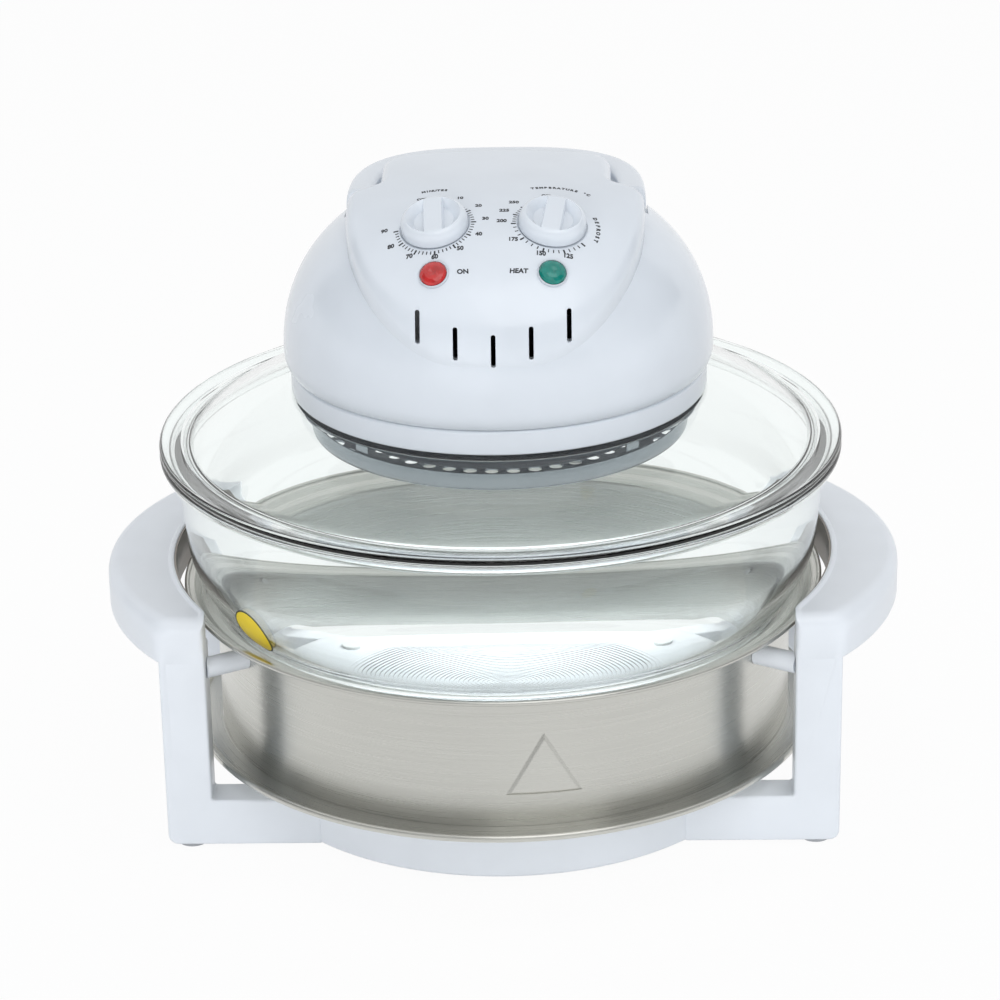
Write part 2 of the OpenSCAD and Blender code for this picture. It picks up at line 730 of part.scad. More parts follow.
// Heater
module heat_can() {
  in_r = can_r - sheet_t;
  color(steel) difference() {
    rotate_extrude() polygon([[shaft_r + 6, can_top - sheet_t], [in_r, can_top - sheet_t],
      [in_r, flange_z - can_drop], [can_r, flange_z - can_drop], [can_r, flange_z],
      [gasket_r, flange_z], [gasket_r, flange_z + sheet_t], [can_r, flange_z + sheet_t],
      [can_r, can_top], [shaft_r + 6, can_top]]);
    ring_of(4) translate([screw_ring, 0, flange_z - cut])
      cylinder(r = small_screw_r + seat_gap, h = sheet_t + 2 * cut, $fn = 32);
  }
}

reflector_z = flange_z + 1.4;
reflector_r = heater_r + tube_r + 3.5;
module reflector() {
  color(steel) difference() {
    union() {
      translate([0, 0, reflector_z]) cylinder(r = reflector_r, h = sheet_t);
      intersection() {
        ring_of(4, 45) translate([0, -4, reflector_z]) cube([can_r, 8, sheet_t]);
        translate([0, 0, reflector_z]) cylinder(r = can_r - sheet_t - seat_gap, h = sheet_t);
      }
    }
    translate([0, 0, reflector_z - cut]) cylinder(r = 24, h = sheet_t + 2 * cut);
  }
}

heater_z = flange_z - tube_r + 0.5;
heater_start = 90 + (360 - heater_turn) / 2;
module heater_ring(r, turn) {
  translate([0, 0, heater_z]) rotate_extrude(angle = turn) translate([heater_r, 0]) circle(r = r, $fn = 32);
}

module heater_tube() {
  color("#efe9dc", 0.7) rotate([0, 0, heater_start]) heater_ring(tube_r, heater_turn);
}

module hung_block(turn, w, len) {
  drop = 2 * tube_r + 2.4;
  difference() {
    rotate([0, 0, turn]) translate([heater_r - w / 2, -len / 2, reflector_z - seat_gap - drop]) cube([w, len, drop]);
    heater_ring(tube_r + seat_gap, 360);
  }
}

cap_len = 14;
clip_len = 4;
module heater_caps() {
  color("#f2efe6") for (s = [1, -1]) hung_block(90 + s * ((360 - heater_turn) / 2 + 5), 2 * tube_r + 5, cap_len);
}

module heater_clips() {
  color(steel) for (a = [-90, 0, 180]) hung_block(a - 15, 2 * tube_r + 3, clip_len);
}

guard_z = flange_z - guard_drop;
module guard_rim() {
  color(steel) translate([0, 0, guard_z - sheet_t]) rotate_extrude() polygon(concat(
    arc([guard_r - 1.2, 1.2], 1.2, -90, 0, 4),
    [[guard_r, guard_h - 0.5], [guard_r - 0.5, guard_h], [guard_r - sheet_t, guard_h],
      [guard_r - sheet_t - 0.1, sheet_t], [guard_r - 3, sheet_t - 0.05], [guard_r - 3, 0]]));
}

module guard_plate() {
  plate_r = guard_r - sheet_t - 2 * seat_gap;
  rows = floor((plate_r - 6) / guard_ring_step);
  color(steel) difference() {
    translate([0, 0, guard_z + seat_gap]) cylinder(r = plate_r, h = sheet_t);
    for (k = [0:rows - 1]) let (at = plate_r - 6 - k * guard_ring_step, r = guard_hole_r + 0.35 * (rows - 1 - k))
      ring_of(max(4, floor(2 * PI * at / (3.1 * r)))) translate([at, 0, guard_z - cut]) cylinder(r = r, h = 4, $fn = 24);
  }
}

module guard_struts() {
  foot = guard_z + seat_gap + sheet_t + seat_gap;
  color(steel) ring_of(4, 45) translate([guard_r - sheet_t - 1.5, -4, foot])
    cube([1, 8, flange_z - seat_gap - foot]);
}

module clamp_screws() {
  color(steel) ring_of(4) translate([screw_ring, 0, 0]) union() {
    translate([0, 0, flange_z - seat_gap - 2]) cylinder(r = small_head_r, h = 2, $fn = 32);
    translate([0, 0, flange_z - 1]) cylinder(r = small_screw_r, h = ring_floor_top + 2 - flange_z, $fn = 32);
  }
}

module head_screws() {
  color(steel) ring_of(4, 45) translate([screw_ring, 0, 0]) union() {
    translate([0, 0, ring_z - seat_gap - 2]) cylinder(r = small_head_r, h = 2, $fn = 32);
    translate([0, 0, ring_z - 1]) cylinder(r = small_screw_r, h = ring_h + 5, $fn = 32);
  }
}

// Motor
bridge_r = can_r - 10;
bridge_t = 2;
bridge_z = can_top + 8;
post_r = 3;
core_z = bridge_z + bridge_t + 4;
core_top = core_z + core_h;
strap_z = core_top + 2.5;
bearing_r = 7;
limb_w = 8;
arm_len = 22;
strap_t = 2;
strap_d = 16;
strap_foot = 6;

module motor_bridge() {
  color(steel) difference() {
    union() {
      translate([0, 0, bridge_z]) cylinder(r = bridge_r, h = bridge_t);
      ring_of(4, 45) translate([bridge_r - 5, 0, can_top + seat_gap]) cylinder(r = post_r, h = bridge_z - can_top, $fn = 32);
      for (x = [1, -1], y = [1, -1]) translate([x * (core_w / 2 - 5), y * (core_d / 2 - 5), bridge_z])
        cylinder(r = post_r, h = core_z - seat_gap - bridge_z, $fn = 32);
    }
    translate([0, 0, bridge_z - cut]) cylinder(r = bearing_r + seat_gap, h = bridge_t + 2 * cut, $fn = 64);
  }
}

module motor_core() {
  color("#8a8d90") translate([0, 0, core_z]) linear_extrude(core_h) difference() {
    union() {
      translate([-core_w / 2, -core_d / 2]) square([core_w, core_d]);
      for (s = [1, -1]) translate([0, s * (core_d - limb_w) / 2 - limb_w / 2]) square([core_w / 2 + arm_len, limb_w]);
      translate([core_w / 2 + arm_len - limb_w, -core_d / 2]) square([limb_w, core_d]);
    }
    circle(r = rotor_r + 0.4);
  }
}

module motor_coil() {
  limb_x = core_w / 2 + arm_len - limb_w;
  len = core_d - 2 * limb_w - 2 * seat_gap;
  wind = 4.5;
  color("#b4662f") difference() {
    translate([limb_x - wind - 0.5, -len / 2, core_z - 3]) cube([limb_w + 2 * wind + 1, len, core_h + 6]);
    translate([limb_x - seat_gap, -len, core_z - seat_gap]) cube([limb_w + 2 * seat_gap, 2 * len, core_h + 2 * seat_gap]);
  }
}

module motor_strap() {
  color(steel) difference() {
    union() {
      translate([-core_w / 2, -strap_d / 2, strap_z]) cube([core_w, strap_d, strap_t]);
      for (s = [1, -1]) translate([s * (core_w - strap_foot) / 2 - strap_foot / 2, -strap_d / 2, core_top + seat_gap])
        cube([strap_foot, strap_d, strap_z - core_top]);
    }
    translate([0, 0, strap_z - cut]) cylinder(r = bearing_r - 1 + seat_gap, h = strap_t + 2 * cut, $fn = 64);
  }
}

module lower_bearing() {
  color("#a58b52") translate([0, 0, bridge_z - 2]) pipe(bearing_r, shaft_r + run_gap, 6);
}

module upper_bearing() {
  color("#a58b52") translate([0, 0, strap_z - 1]) pipe(bearing_r - 1, shaft_r + run_gap, 4);
}

cool_z = strap_z + 4.5;
cool_h = 6;
hot_z = reflector_z + sheet_t + 1.8;
hot_top = hot_z + hot_blade_h + 1;

module motor_shaft() {
  low = hot_z - 5;
  color(steel) translate([0, 0, low]) cylinder(r = shaft_r, h = cool_z + cool_h + 0.5 - low, $fn = 64);
}

module motor_rotor() {
  color("#9a9da0") translate([0, 0, core_z + 1]) pipe(rotor_r, shaft_r + 0.02, core_h - 2);
}

module convection_fan() {
  color(steel) difference() {
    union() {
      translate([0, 0, hot_z]) cylinder(r = 8, h = hot_top - hot_z);
      translate([0, 0, hot_top - 1]) cylinder(r = hot_fan_r, h = 1);
      ring_of(8) translate([6, -0.6, hot_z]) cube([hot_fan_r - 7, 1.2, hot_blade_h + 0.5]);
    }
    translate([0, 0, hot_z - cut]) cylinder(r = shaft_r + 0.02, h = 2 * hot_blade_h, $fn = 64);
  }
}

module fan_nut() {
  color(steel) translate([0, 0, hot_z - 3.6]) difference() {
    cylinder(r = 6, h = 3.5, $fn = 6);
    translate([0, 0, -cut]) cylinder(r = shaft_r + 0.02, h = 5, $fn = 64);
  }
}

module cooling_fan() {
  color("#5d6266") difference() {
    union() {
      translate([0, 0, cool_z]) cylinder(r = 8, h = cool_h);
      intersection() {
        ring_of(8) translate([6, 0, cool_z + cool_h / 2]) rotate([35, 0, 0]) translate([0, -5, -0.5])
          cube([cool_fan_r - 7, 10, 1]);
        translate([0, 0, cool_z]) cylinder(r = cool_fan_r, h = cool_h);
      }
    }
    translate([0, 0, cool_z - cut]) cylinder(r = shaft_r + 0.02, h = cool_h + 2 * cut, $fn = 64);
  }
}

// Controls
control_top = -11.5;
control_end = control_top - control_h;
neck_top = -knob_seat - 0.3;

module control_neck() { translate([0, 0, control_top]) cylinder(r = neck_r0, h = neck_top - control_top, $fn = 48); }
module control_bore() {
  translate([0, 0, control_end + 3]) cylinder(r = stem_r + run_gap, h = neck_top - control_end, $fn = 64);
}

module timer_unit() {
  color("#d9d4c4") on_face(-knob_x, knob_y) difference() {
    union() {
      translate([-timer_side / 2, -timer_side / 2, control_end]) cube([timer_side, timer_side, control_h]);
      control_neck();
    }
    control_bore();
  }
}

module thermostat_unit() {
  color("#c9cbd0") on_face(knob_x, knob_y) difference() {
    union() {
      translate([0, 0, control_end]) cylinder(r = thermostat_r, h = control_h);
      control_neck();
    }
    control_bore();
  }
}

module stem() {
  color(steel) translate([0, 0, control_end + 3.3])
    cylinder(r = stem_r, h = knob_h - 4 - control_end - 3.3, $fn = 64);
}

module knob() {
  foot = lift_gap - knob_seat + 0.1;
  color(white) difference() {
    union() {
      translate([0, 0, foot]) rotate_extrude() polygon([[0, 0], [knob_r, 0], [knob_r, skirt_h - 1.5],
        [knob_r - 1.5, skirt_h], [0, skirt_h]]);
      intersection() {
        translate([-knob_bar_w / 2, -knob_r, foot]) cube([knob_bar_w, 2 * knob_r, knob_h]);
        translate([0, 0, foot]) cylinder(r1 = knob_r, r2 = knob_r - 3, h = knob_h);
      }
    }
    translate([0, 0, foot - cut]) cylinder(r = stem_r + 0.02, h = knob_h - 4 - foot + 2 * cut, $fn = 64);
  }
}

module timer_knob() { on_face(-knob_x, knob_y) knob(); }
module timer_stem() { on_face(-knob_x, knob_y) stem(); }
module temperature_knob() { on_face(knob_x, knob_y) knob(); }
module thermostat_stem() { on_face(knob_x, knob_y) stem(); }

module lamp(shade) {
  color(shade) union() {
    translate([0, 0, -14]) cylinder(r = lens_r - 1.5, h = 14.5, $fn = 48);
    translate([0, 0, -3]) cylinder(r = lens_r, h = 4.2, $fn = 48);
    translate([0, 0, 1.2]) cylinder(r1 = lens_r, r2 = lens_r - 2.5, h = 1.6, $fn = 48);
  }
}

module power_lamp() { on_face(-knob_x, lamp_y) lamp("#c8302c"); }
module heat_lamp() { on_face(knob_x, lamp_y) lamp("#00897b"); }
module lamp_bezels() {
  color("#eef2f4") for (s = [1, -1]) on_face(s * knob_x, lamp_y) translate([0, 0, 0.25])
    pipe(lens_r + bezel_w, lens_r + seat_gap, 0.9);
}

// Lift handle, its pins and its switch
bail_mid_x = bail_half - bail_w / 2;
plunger_y = pivot_y + 16;
module bail_plan() {
  outer = full_curve(bail_half, bail_reach, bail_power, 24);
  inner = full_curve(bail_half - bail_w, bail_reach - bail_w, bail_power, 24);
  front = pivot_y - bail_half_h;
  difference() {
    polygon(concat([[bail_half, front]], outer, mirrored(outer), [[-bail_half, front]]));
    polygon(concat([[bail_half - bail_w, front - 1]], inner, mirrored(inner), [[bail_w - bail_half, front - 1]]));
  }
}

grip_top = pivot_z + bail_half_h - bail_drop;
grip_low = grip_top - bail_grip_h;
module bail_side() {
  translate([-bail_half - 1, 0, dome_z]) rotate([90, 0, 90]) linear_extrude(2 * bail_half + 2) polygon(concat(
    arc([pivot_y, pivot_z], bail_half_h, 90, 270, 14),
    [[bail_reach + 1, grip_low], [bail_reach + 1, grip_top]]));
}

module lift_handle() {
  color(white) difference() {
    intersection() {
      bail_side();
      translate([0, 0, dome_z]) linear_extrude(tall) bail_plan();
    }
    for (s = [1, -1]) translate([s * (bail_half - bail_w - 1), pivot_y, dome_z + pivot_z]) rotate([0, s * 90, 0])
      cylinder(r = pin_r + run_gap, h = bail_w - 1, $fn = 64);
  }
}

module handle_pins() {
  color(steel) for (s = [1, -1]) translate([0, pivot_y, dome_z + pivot_z]) rotate([0, s * 90, 0]) union() {
    translate([0, 0, tab_half - 7]) cylinder(r = pin_r, h = bail_half - 3.5 - tab_half + 7, $fn = 64);
    translate([0, 0, tab_half - shell_t - 2 - seat_gap]) cylinder(r = pin_r + 1.5, h = 2, $fn = 48);
  }
}

function low_at(y) = grip_low + (pivot_z - bail_half_h - grip_low) * (bail_reach + 1 - y) / (bail_reach + 1 - pivot_y);
plunger_top = dome_z + low_at(plunger_y + plunger_r) - lift_gap - 0.1;
switch_h = 12;
switch_top = well_z - shell_t - 1;

module switch_plunger() {
  color(dark) translate([bail_mid_x, plunger_y, switch_top - 8])
    cylinder(r = plunger_r, h = plunger_top - switch_top + 8, $fn = 48);
}

module safety_switch() {
  color("#33373b") translate([bail_mid_x - 5, plunger_y - 10, switch_top - switch_h]) difference() {
    union() {
      cube([10, 20, switch_h]);
      for (y = [2, 15]) translate([2, y, switch_h - cut]) cube([6, 3, 0.9 + cut]);
    }
    translate([5, 10, 3]) cylinder(r = plunger_r + run_gap, h = switch_h, $fn = 48);
  }
}

module mains_inlet() {
  color(dark) difference() {
    union() {
      translate([-inlet_w / 2, inlet_y - inlet_t, inlet_z]) cube([inlet_w, inlet_t, inlet_h]);
      translate([inlet_edge - inlet_w / 2, inlet_y - inlet_t + 2 - inlet_body, inlet_z + inlet_edge])
        cube([inlet_w - 2 * inlet_edge, inlet_body, inlet_h - 2 * inlet_edge]);
    }
    translate([inlet_wall - inlet_w / 2, inlet_y - socket_d, inlet_z + inlet_wall])
      cube([inlet_w - 2 * inlet_wall, socket_d + cut, inlet_h - 2 * inlet_wall]);
  }
}

module terminal_block() {
  color("#e4e0d0") translate([-15, core_d / 2 + 18, bridge_z + bridge_t + seat_gap]) difference() {
    cube([30, 12, 10]);
    for (i = [0:3]) translate([4 + i * 7.3, 6, 4]) cylinder(r = 1.5, h = 10, $fn = 24);
  }
}

base_disc();
corner_at(-1, -1) leg();  // leg_front_left
corner_at(1, -1) leg();  // leg_front_right
corner_at(-1, 1) leg();  // leg_rear_left
corner_at(1, 1) leg();  // leg_rear_right
mirror([1, 0, 0]) side_handle();  // side_handle_left
side_handle();  // side_handle_right
mirror([1, 0, 0]) liner();  // liner_left
liner();  // liner_right
heat_band();
lower_rim();
band_spacers();
band_screws();
base_screws();
rubber_feet();
bowl_pads();
bowl();
lid_glass();
upper_gasket();
lower_gasket();
head_base();
head_shell();
control_panel();
heat_can();
reflector();
heater_tube();
heater_caps();
heater_clips();
guard_rim();
guard_plate();
guard_struts();
clamp_screws();
head_screws();
motor_bridge();
motor_core();
motor_coil();
motor_strap();
lower_bearing();
upper_bearing();
timer_unit();
thermostat_unit();
power_lamp();
heat_lamp();
lamp_bezels();
safety_switch();
mains_inlet();
terminal_block();
handle_pins();
motor_shaft();
motor_rotor();
convection_fan();
cooling_fan();
fan_nut();
lift_handle();
switch_plunger();
timer_knob();
timer_stem();
temperature_knob();
thermostat_stem();
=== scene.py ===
import json
import math
import bmesh
import bpy
import numpy as np
from mathutils import Matrix, Vector


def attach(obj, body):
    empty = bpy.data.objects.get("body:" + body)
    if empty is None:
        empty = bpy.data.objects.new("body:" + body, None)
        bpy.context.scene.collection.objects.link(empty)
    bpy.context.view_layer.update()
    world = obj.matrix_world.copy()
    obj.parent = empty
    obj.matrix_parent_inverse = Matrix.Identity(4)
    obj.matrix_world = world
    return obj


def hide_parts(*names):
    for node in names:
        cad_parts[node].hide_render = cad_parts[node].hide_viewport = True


# A countertop halogen oven. Every length in the dictionaries is in millimetres, but for the camera's and
# the studio's, which are in metres. The meshes are made in metres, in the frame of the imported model: +Z up
# on the bowl's axis, -Y the front.

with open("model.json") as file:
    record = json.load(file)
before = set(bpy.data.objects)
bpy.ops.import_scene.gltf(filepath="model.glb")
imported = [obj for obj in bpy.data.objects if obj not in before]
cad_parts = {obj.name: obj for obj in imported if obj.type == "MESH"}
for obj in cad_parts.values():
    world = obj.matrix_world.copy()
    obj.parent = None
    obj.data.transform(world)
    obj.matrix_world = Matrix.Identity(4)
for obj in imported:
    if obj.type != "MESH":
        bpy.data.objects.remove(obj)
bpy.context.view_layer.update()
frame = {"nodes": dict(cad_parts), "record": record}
scene = bpy.context.scene
mm = 0.001
levels = {
    "baseFoot": 2.0, "baseTop": 26.0, "bowlFoot": 28.4, "bowlTop": 177.8, "lidSeat": 178.1,
    "lidRimTop": 182.1, "lidTop": 205.6, "ringZ": 206.7, "domeZ": 226.1, "faceZ": 223.1, "guardZ": 184.7,
}
print("frame loaded:", len(frame["nodes"]), "nodes")


def gridFaces(rows, cols, closeRows=False, closeCols=False):
    # Quads between neighbours on a grid of rows x cols points, wrapped round where asked
    r = np.arange(rows if closeRows else rows - 1)
    c = np.arange(cols if closeCols else cols - 1)
    a, b = np.meshgrid(r, c, indexing="ij")
    a2, b2 = (a + 1) % rows, (b + 1) % cols
    return np.stack([a * cols + b, a2 * cols + b, a2 * cols + b2, a * cols + b2], -1).reshape(-1, 4)


def cappedFaces(rows, cols):
    # The faces of a closed outline carried over the rows, with one face at each end
    ends = [list(range(cols))[::-1], list(range((rows - 1) * cols, rows * cols))]
    return gridFaces(rows, cols, False, True).tolist() + ends


def joined(items):
    # Several meshes (points, faces) as one: all their points, and their faces counted on
    starts = np.cumsum([0] + [len(points) for points, _ in items])
    faces = [tuple(int(i + start) for i in face) for (_, own), start in zip(items, starts) for face in own]
    return np.vstack([points for points, _ in items]), faces


def oblong(x1, y1, x2, y2):
    # The four corners of a rectangle, anticlockwise
    return [(x1, y1), (x2, y1), (x2, y2), (x1, y2)]


def spin(turn):
    # The matrix of a turn in the plane
    return np.array([[math.cos(turn), -math.sin(turn)], [math.sin(turn), math.cos(turn)]])


def runLength(line):
    # The length of the line up to each of its points
    return np.concatenate([[0], np.cumsum(np.linalg.norm(np.diff(line, axis=0), axis=1))])


def arc(centre, radius, first, last, steps=12):
    # centre + radius (cos a, sin a), with a from first to last in degrees
    a = np.radians(np.linspace(first, last, steps + 1))
    return np.stack([centre[0] + radius * np.cos(a), centre[1] + radius * np.sin(a)], -1)


def fullCurve(halfWidth, rise, power, steps=48, last=90):
    # (w cos^(2/p) a, h sin^(2/p) a), with a from 0 at the side up to the last angle; the signs follow a
    a = np.radians(np.linspace(0, last, steps + 1))
    c, s = np.cos(a), np.sin(a)
    c[np.abs(c) < 1e-12], s[np.abs(s) < 1e-12] = 0, 0
    return np.stack([halfWidth * np.sign(c) * np.abs(c) ** (2 / power),
                     rise * np.sign(s) * np.abs(s) ** (2 / power)], -1)


def rounded(points, radii, closed=True, steps=6):
    # Each corner becomes an arc of its own radius that touches both of its sides
    points = [np.array(p, float) for p in points]
    last, out = len(points) - 1, []
    radii = radii if hasattr(radii, "__len__") else [radii] * len(points)
    for i, (corner, radius) in enumerate(zip(points, radii)):
        if radius <= 0 or (not closed and i in (0, last)):
            out.append(corner[None])
            continue
        a, b = points[i - 1] - corner, points[(i + 1) % (last + 1)] - corner
        la, lb = np.linalg.norm(a), np.linalg.norm(b)
        a, b = a / la, b / lb
        half = math.acos(float(np.clip(a @ b, -1, 1))) / 2
        run = min(radius / math.tan(half), 0.49 * la, 0.49 * lb)
        fit = run * math.tan(half)
        centre = corner + (a + b) / np.linalg.norm(a + b) * fit / math.sin(half)
        start, end, sweep = corner + a * run - centre, corner + b * run - centre, math.pi - 2 * half
        s = np.linspace(0, 1, steps + 1)[:, None]
        out.append(centre + (np.sin((1 - s) * sweep) * start + np.sin(s * sweep) * end) / math.sin(sweep))
    return np.vstack(out)


def revolved(profile, count, closed=True):
    # The profile point (r, z) at the angle a goes to (r cos a, r sin a, z)
    a = np.radians(360.0 * np.arange(count) / count)
    r, z = np.asarray(profile, float).T
    heights = np.broadcast_to(z, (count, len(z)))
    points = np.stack([np.outer(np.cos(a), r), np.outer(np.sin(a), r), heights], -1)
    return points, gridFaces(count, len(z), True, closed)


def addMesh(name, points, faces, angle=38, outward=True):
    # Puts points in millimetres into a mesh, closes its seams and poles, and turns its faces outwards
    mesh = bpy.data.meshes.new(name)
    faces = faces.tolist() if hasattr(faces, "tolist") else faces
    mesh.from_pydata((np.asarray(points, float).reshape(-1, 3) * mm).tolist(), [], faces)
    work = bmesh.new()
    work.from_mesh(mesh)
    bmesh.ops.remove_doubles(work, verts=work.verts, dist=1e-6)
    bmesh.ops.dissolve_degenerate(work, edges=work.edges, dist=1e-7)
    if outward:
        bmesh.ops.recalc_face_normals(work, faces=work.faces)
    work.to_mesh(mesh)
    work.free()
    smoothMesh(mesh, angle)
    return newObject(name, mesh)


def newObject(name, data):
    # An object with this data, put into the scene
    made = bpy.data.objects.new(name, data)
    scene.collection.objects.link(made)
    return made


def smoothMesh(mesh, angle=38):
    # Smooth shading, with edges sharper than the angle left sharp
    mesh.shade_smooth()
    mesh.set_sharp_from_angle(angle=math.radians(angle))


def prism(name, outline, low, high):
    # The outline (x, y) carried from the height low to the height high, with one face at each end
    rings = [np.column_stack([outline, np.full(len(outline), float(z))]) for z in (low, high)]
    return addMesh(name, np.vstack(rings), cappedFaces(2, len(outline)))


def moveVertices(mesh, change):
    # Every vertex goes to the place that the change makes of it, in metres
    spots = np.zeros(len(mesh.vertices) * 3)
    mesh.vertices.foreach_get("co", spots)
    mesh.vertices.foreach_set("co", change(spots.reshape(-1, 3)).ravel())
    mesh.update()


def bakeModifiers(piece):
    # Puts what the piece's modifiers make into its mesh
    graph = bpy.context.evaluated_depsgraph_get()
    mesh = bpy.data.meshes.new_from_object(piece.evaluated_get(graph))
    piece.modifiers.clear()
    old, piece.data = piece.data, mesh
    bpy.data.meshes.remove(old)
    mesh.materials.clear()
    smoothMesh(mesh)


def combine(piece, others, operation="DIFFERENCE"):
    # Cuts the others out of the piece, or joins them to it, and removes them
    for other in others:
        step = piece.modifiers.new("combine", "BOOLEAN")
        step.operation, step.solver, step.object = operation, "EXACT", other
    bakeModifiers(piece)
    for other in others:
        bpy.data.meshes.remove(other.data)


def softenEdges(piece, width, segments=3, angle=50):
    # A small round along every edge that turns by more than the angle
    step = piece.modifiers.new("soften", "BEVEL")
    step.width, step.segments, step.limit_method = width * mm, segments, "ANGLE"
    step.angle_limit, step.harden_normals = math.radians(angle), False
    bakeModifiers(piece)


def finishPiece(piece, body, slotName, *nodes):
    # Gives the piece its finish and its body, and hides the nodes that it stands for
    piece.data.materials.clear()
    piece.data.materials.append(finishes[slotName])
    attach(piece, body)
    if nodes:
        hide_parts(*nodes)
    return piece


def nodeGroup(name, inputs, outputs):
    # A group with float inputs and their values, and its outputs; returns what is needed to fill it
    group = bpy.data.node_groups.new(name, "ShaderNodeTree")
    kind = "NodeSocketFloat"
    for title, value in inputs.items():
        group.interface.new_socket(title, in_out="INPUT", socket_type=kind).default_value = value
    for title in outputs:
        group.interface.new_socket(title, in_out="OUTPUT", socket_type=kind)
    start, end = group.nodes.new("NodeGroupInput"), group.nodes.new("NodeGroupOutput")
    return group, start, end


def addNode(tree, kind, values=None, **settings):
    # A node with its settings, and its inputs set to values or linked to sockets
    made = tree.nodes.new("ShaderNode" + kind)
    for key, value in settings.items():
        setattr(made, key, value)
    for key, value in (values or {}).items():
        if isinstance(value, bpy.types.NodeSocket):
            tree.links.new(value, made.inputs[key])
        else:
            made.inputs[key].default_value = value
    return made


def noise(tree, spot, scale, detail, **more):
    # Noise over the spot; a larger scale makes a finer pattern
    values = {"Vector": spot, "Scale": scale, "Detail": detail, **more}
    return addNode(tree, "TexNoise", values).outputs["Fac"]


def mouldGrain():
    # Height of a fine moulded skin, and a slow waviness of it, from noise at two sizes
    inputs = {"Fine size": 900.0, "Wave size": 22.0, "Wave share": 0.5}
    group, start, end = nodeGroup("mouldGrain", inputs, ["Height", "Mask"])
    place = addNode(group, "TexCoord").outputs["Object"]
    fine = noise(group, place, start.outputs["Fine size"], 2.0)
    wave = noise(group, place, start.outputs["Wave size"], 3.0)
    both = addNode(group, "Mix", data_type="FLOAT")
    for value, socket in zip((start.outputs["Wave share"], fine, wave), (0, 2, 3)):
        group.links.new(value, both.inputs[socket])
    group.links.new(both.outputs[0], end.inputs["Height"])
    group.links.new(wave, end.inputs["Mask"])
    return group


def rollLines():
    # Fine lines round the axis: noise of the height and the radius, and only slowly of the angle
    group, start, end = nodeGroup("rollLines", {"Across": 2600.0, "Along": 1.4}, ["Lines", "Patches"])
    place = addNode(group, "TexCoord").outputs["Object"]
    parts = addNode(group, "SeparateXYZ", {0: place})
    angle = addNode(group, "Math", {0: parts.outputs["Y"], 1: parts.outputs["X"]}, operation="ARCTAN2")
    reach = addNode(group, "VectorMath", {0: place}, operation="LENGTH")
    pairs = ((angle.outputs[0], "Along"), (parts.outputs["Z"], "Across"), (reach.outputs["Value"], "Across"))
    scaled = [addNode(group, "Math", {0: value, 1: start.outputs[by]}, operation="MULTIPLY").outputs[0]
              for value, by in pairs]
    spot = addNode(group, "CombineXYZ", dict(enumerate(scaled)))
    group.links.new(noise(group, spot.outputs[0], 1.0, 3.0, Roughness=0.7), end.inputs["Lines"])
    group.links.new(noise(group, place, 9.0, 2.0), end.inputs["Patches"])
    return group


groups = {"mouldGrain": mouldGrain(), "rollLines": rollLines()}
maskSpan = (0.3, 0.7)  # the part of the noise's range that the looks use


def shade(colour, factor):
    # The colour made lighter or darker, with full cover
    return tuple(min(1.0, c * factor) for c in colour) + (1.0,)


def mixColours(tree, factor, low, high):
    # A colour from low to high while the factor goes over the mask's span
    ramp = addNode(tree, "ValToRGB", {0: factor})
    for stop, place, colour in zip(ramp.color_ramp.elements, maskSpan, (low, high)):
        stop.position, stop.color = place, colour
    return ramp.outputs["Color"]


def mapRange(tree, value, low, high):
    # A value from low to high over the same span
    first, last = maskSpan
    values = {"Value": value, "From Min": first, "From Max": last, "To Min": low, "To Max": high}
    return addNode(tree, "MapRange", values).outputs[0]


def newFinish(name, **sockets):
    # A material with one Principled BSDF, its plain values set on its own sockets
    made = bpy.data.materials.new(name)
    made.use_nodes = True
    tree = made.node_tree
    surface = tree.nodes["Principled BSDF"]
    for key, value in sockets.items():
        surface.inputs[key.replace("_", " ")].default_value = value
    return made, tree, surface


def useGroup(tree, name, values):
    # A node that runs the named group with these values of its inputs
    made = tree.nodes.new("ShaderNodeGroup")
    made.node_tree = groups[name]
    for key, value in values.items():
        made.inputs[key].default_value = value
    return made.outputs


def driftLook(tree, surface, colour, spread, roughness, drift, tintMask, glossMask):
    # Colour and roughness that drift a little with their masks
    tint = mixColours(tree, tintMask, shade(colour, 1 - spread), shade(colour, 1 + spread))
    gloss = mapRange(tree, glossMask, roughness * (1 - drift), roughness * (1 + drift))
    tree.links.new(tint, surface.inputs["Base Color"])
    tree.links.new(gloss, surface.inputs["Roughness"])


def raiseSkin(tree, surface, height, strength, distance):
    # A bump of the surface's normal from the height
    rise = addNode(tree, "Bump", {"Height": height, "Strength": strength, "Distance": distance})
    tree.links.new(rise.outputs[0], surface.inputs["Normal"])


def mouldedFinish(name, colour, roughness, fine=900.0, wave=22.0, share=0.5, bump=0.02, spread=0.03, **more):
    # Moulded plastic, rubber or glazed clay: a grained skin whose colour and gloss drift a little
    made, tree, surface = newFinish(name, **more)
    grain = useGroup(tree, "mouldGrain", {"Fine size": fine, "Wave size": wave, "Wave share": share})
    driftLook(tree, surface, colour, spread, roughness, 0.15, grain["Mask"], grain["Mask"])
    raiseSkin(tree, surface, grain["Height"], bump, 0.0004)
    return made


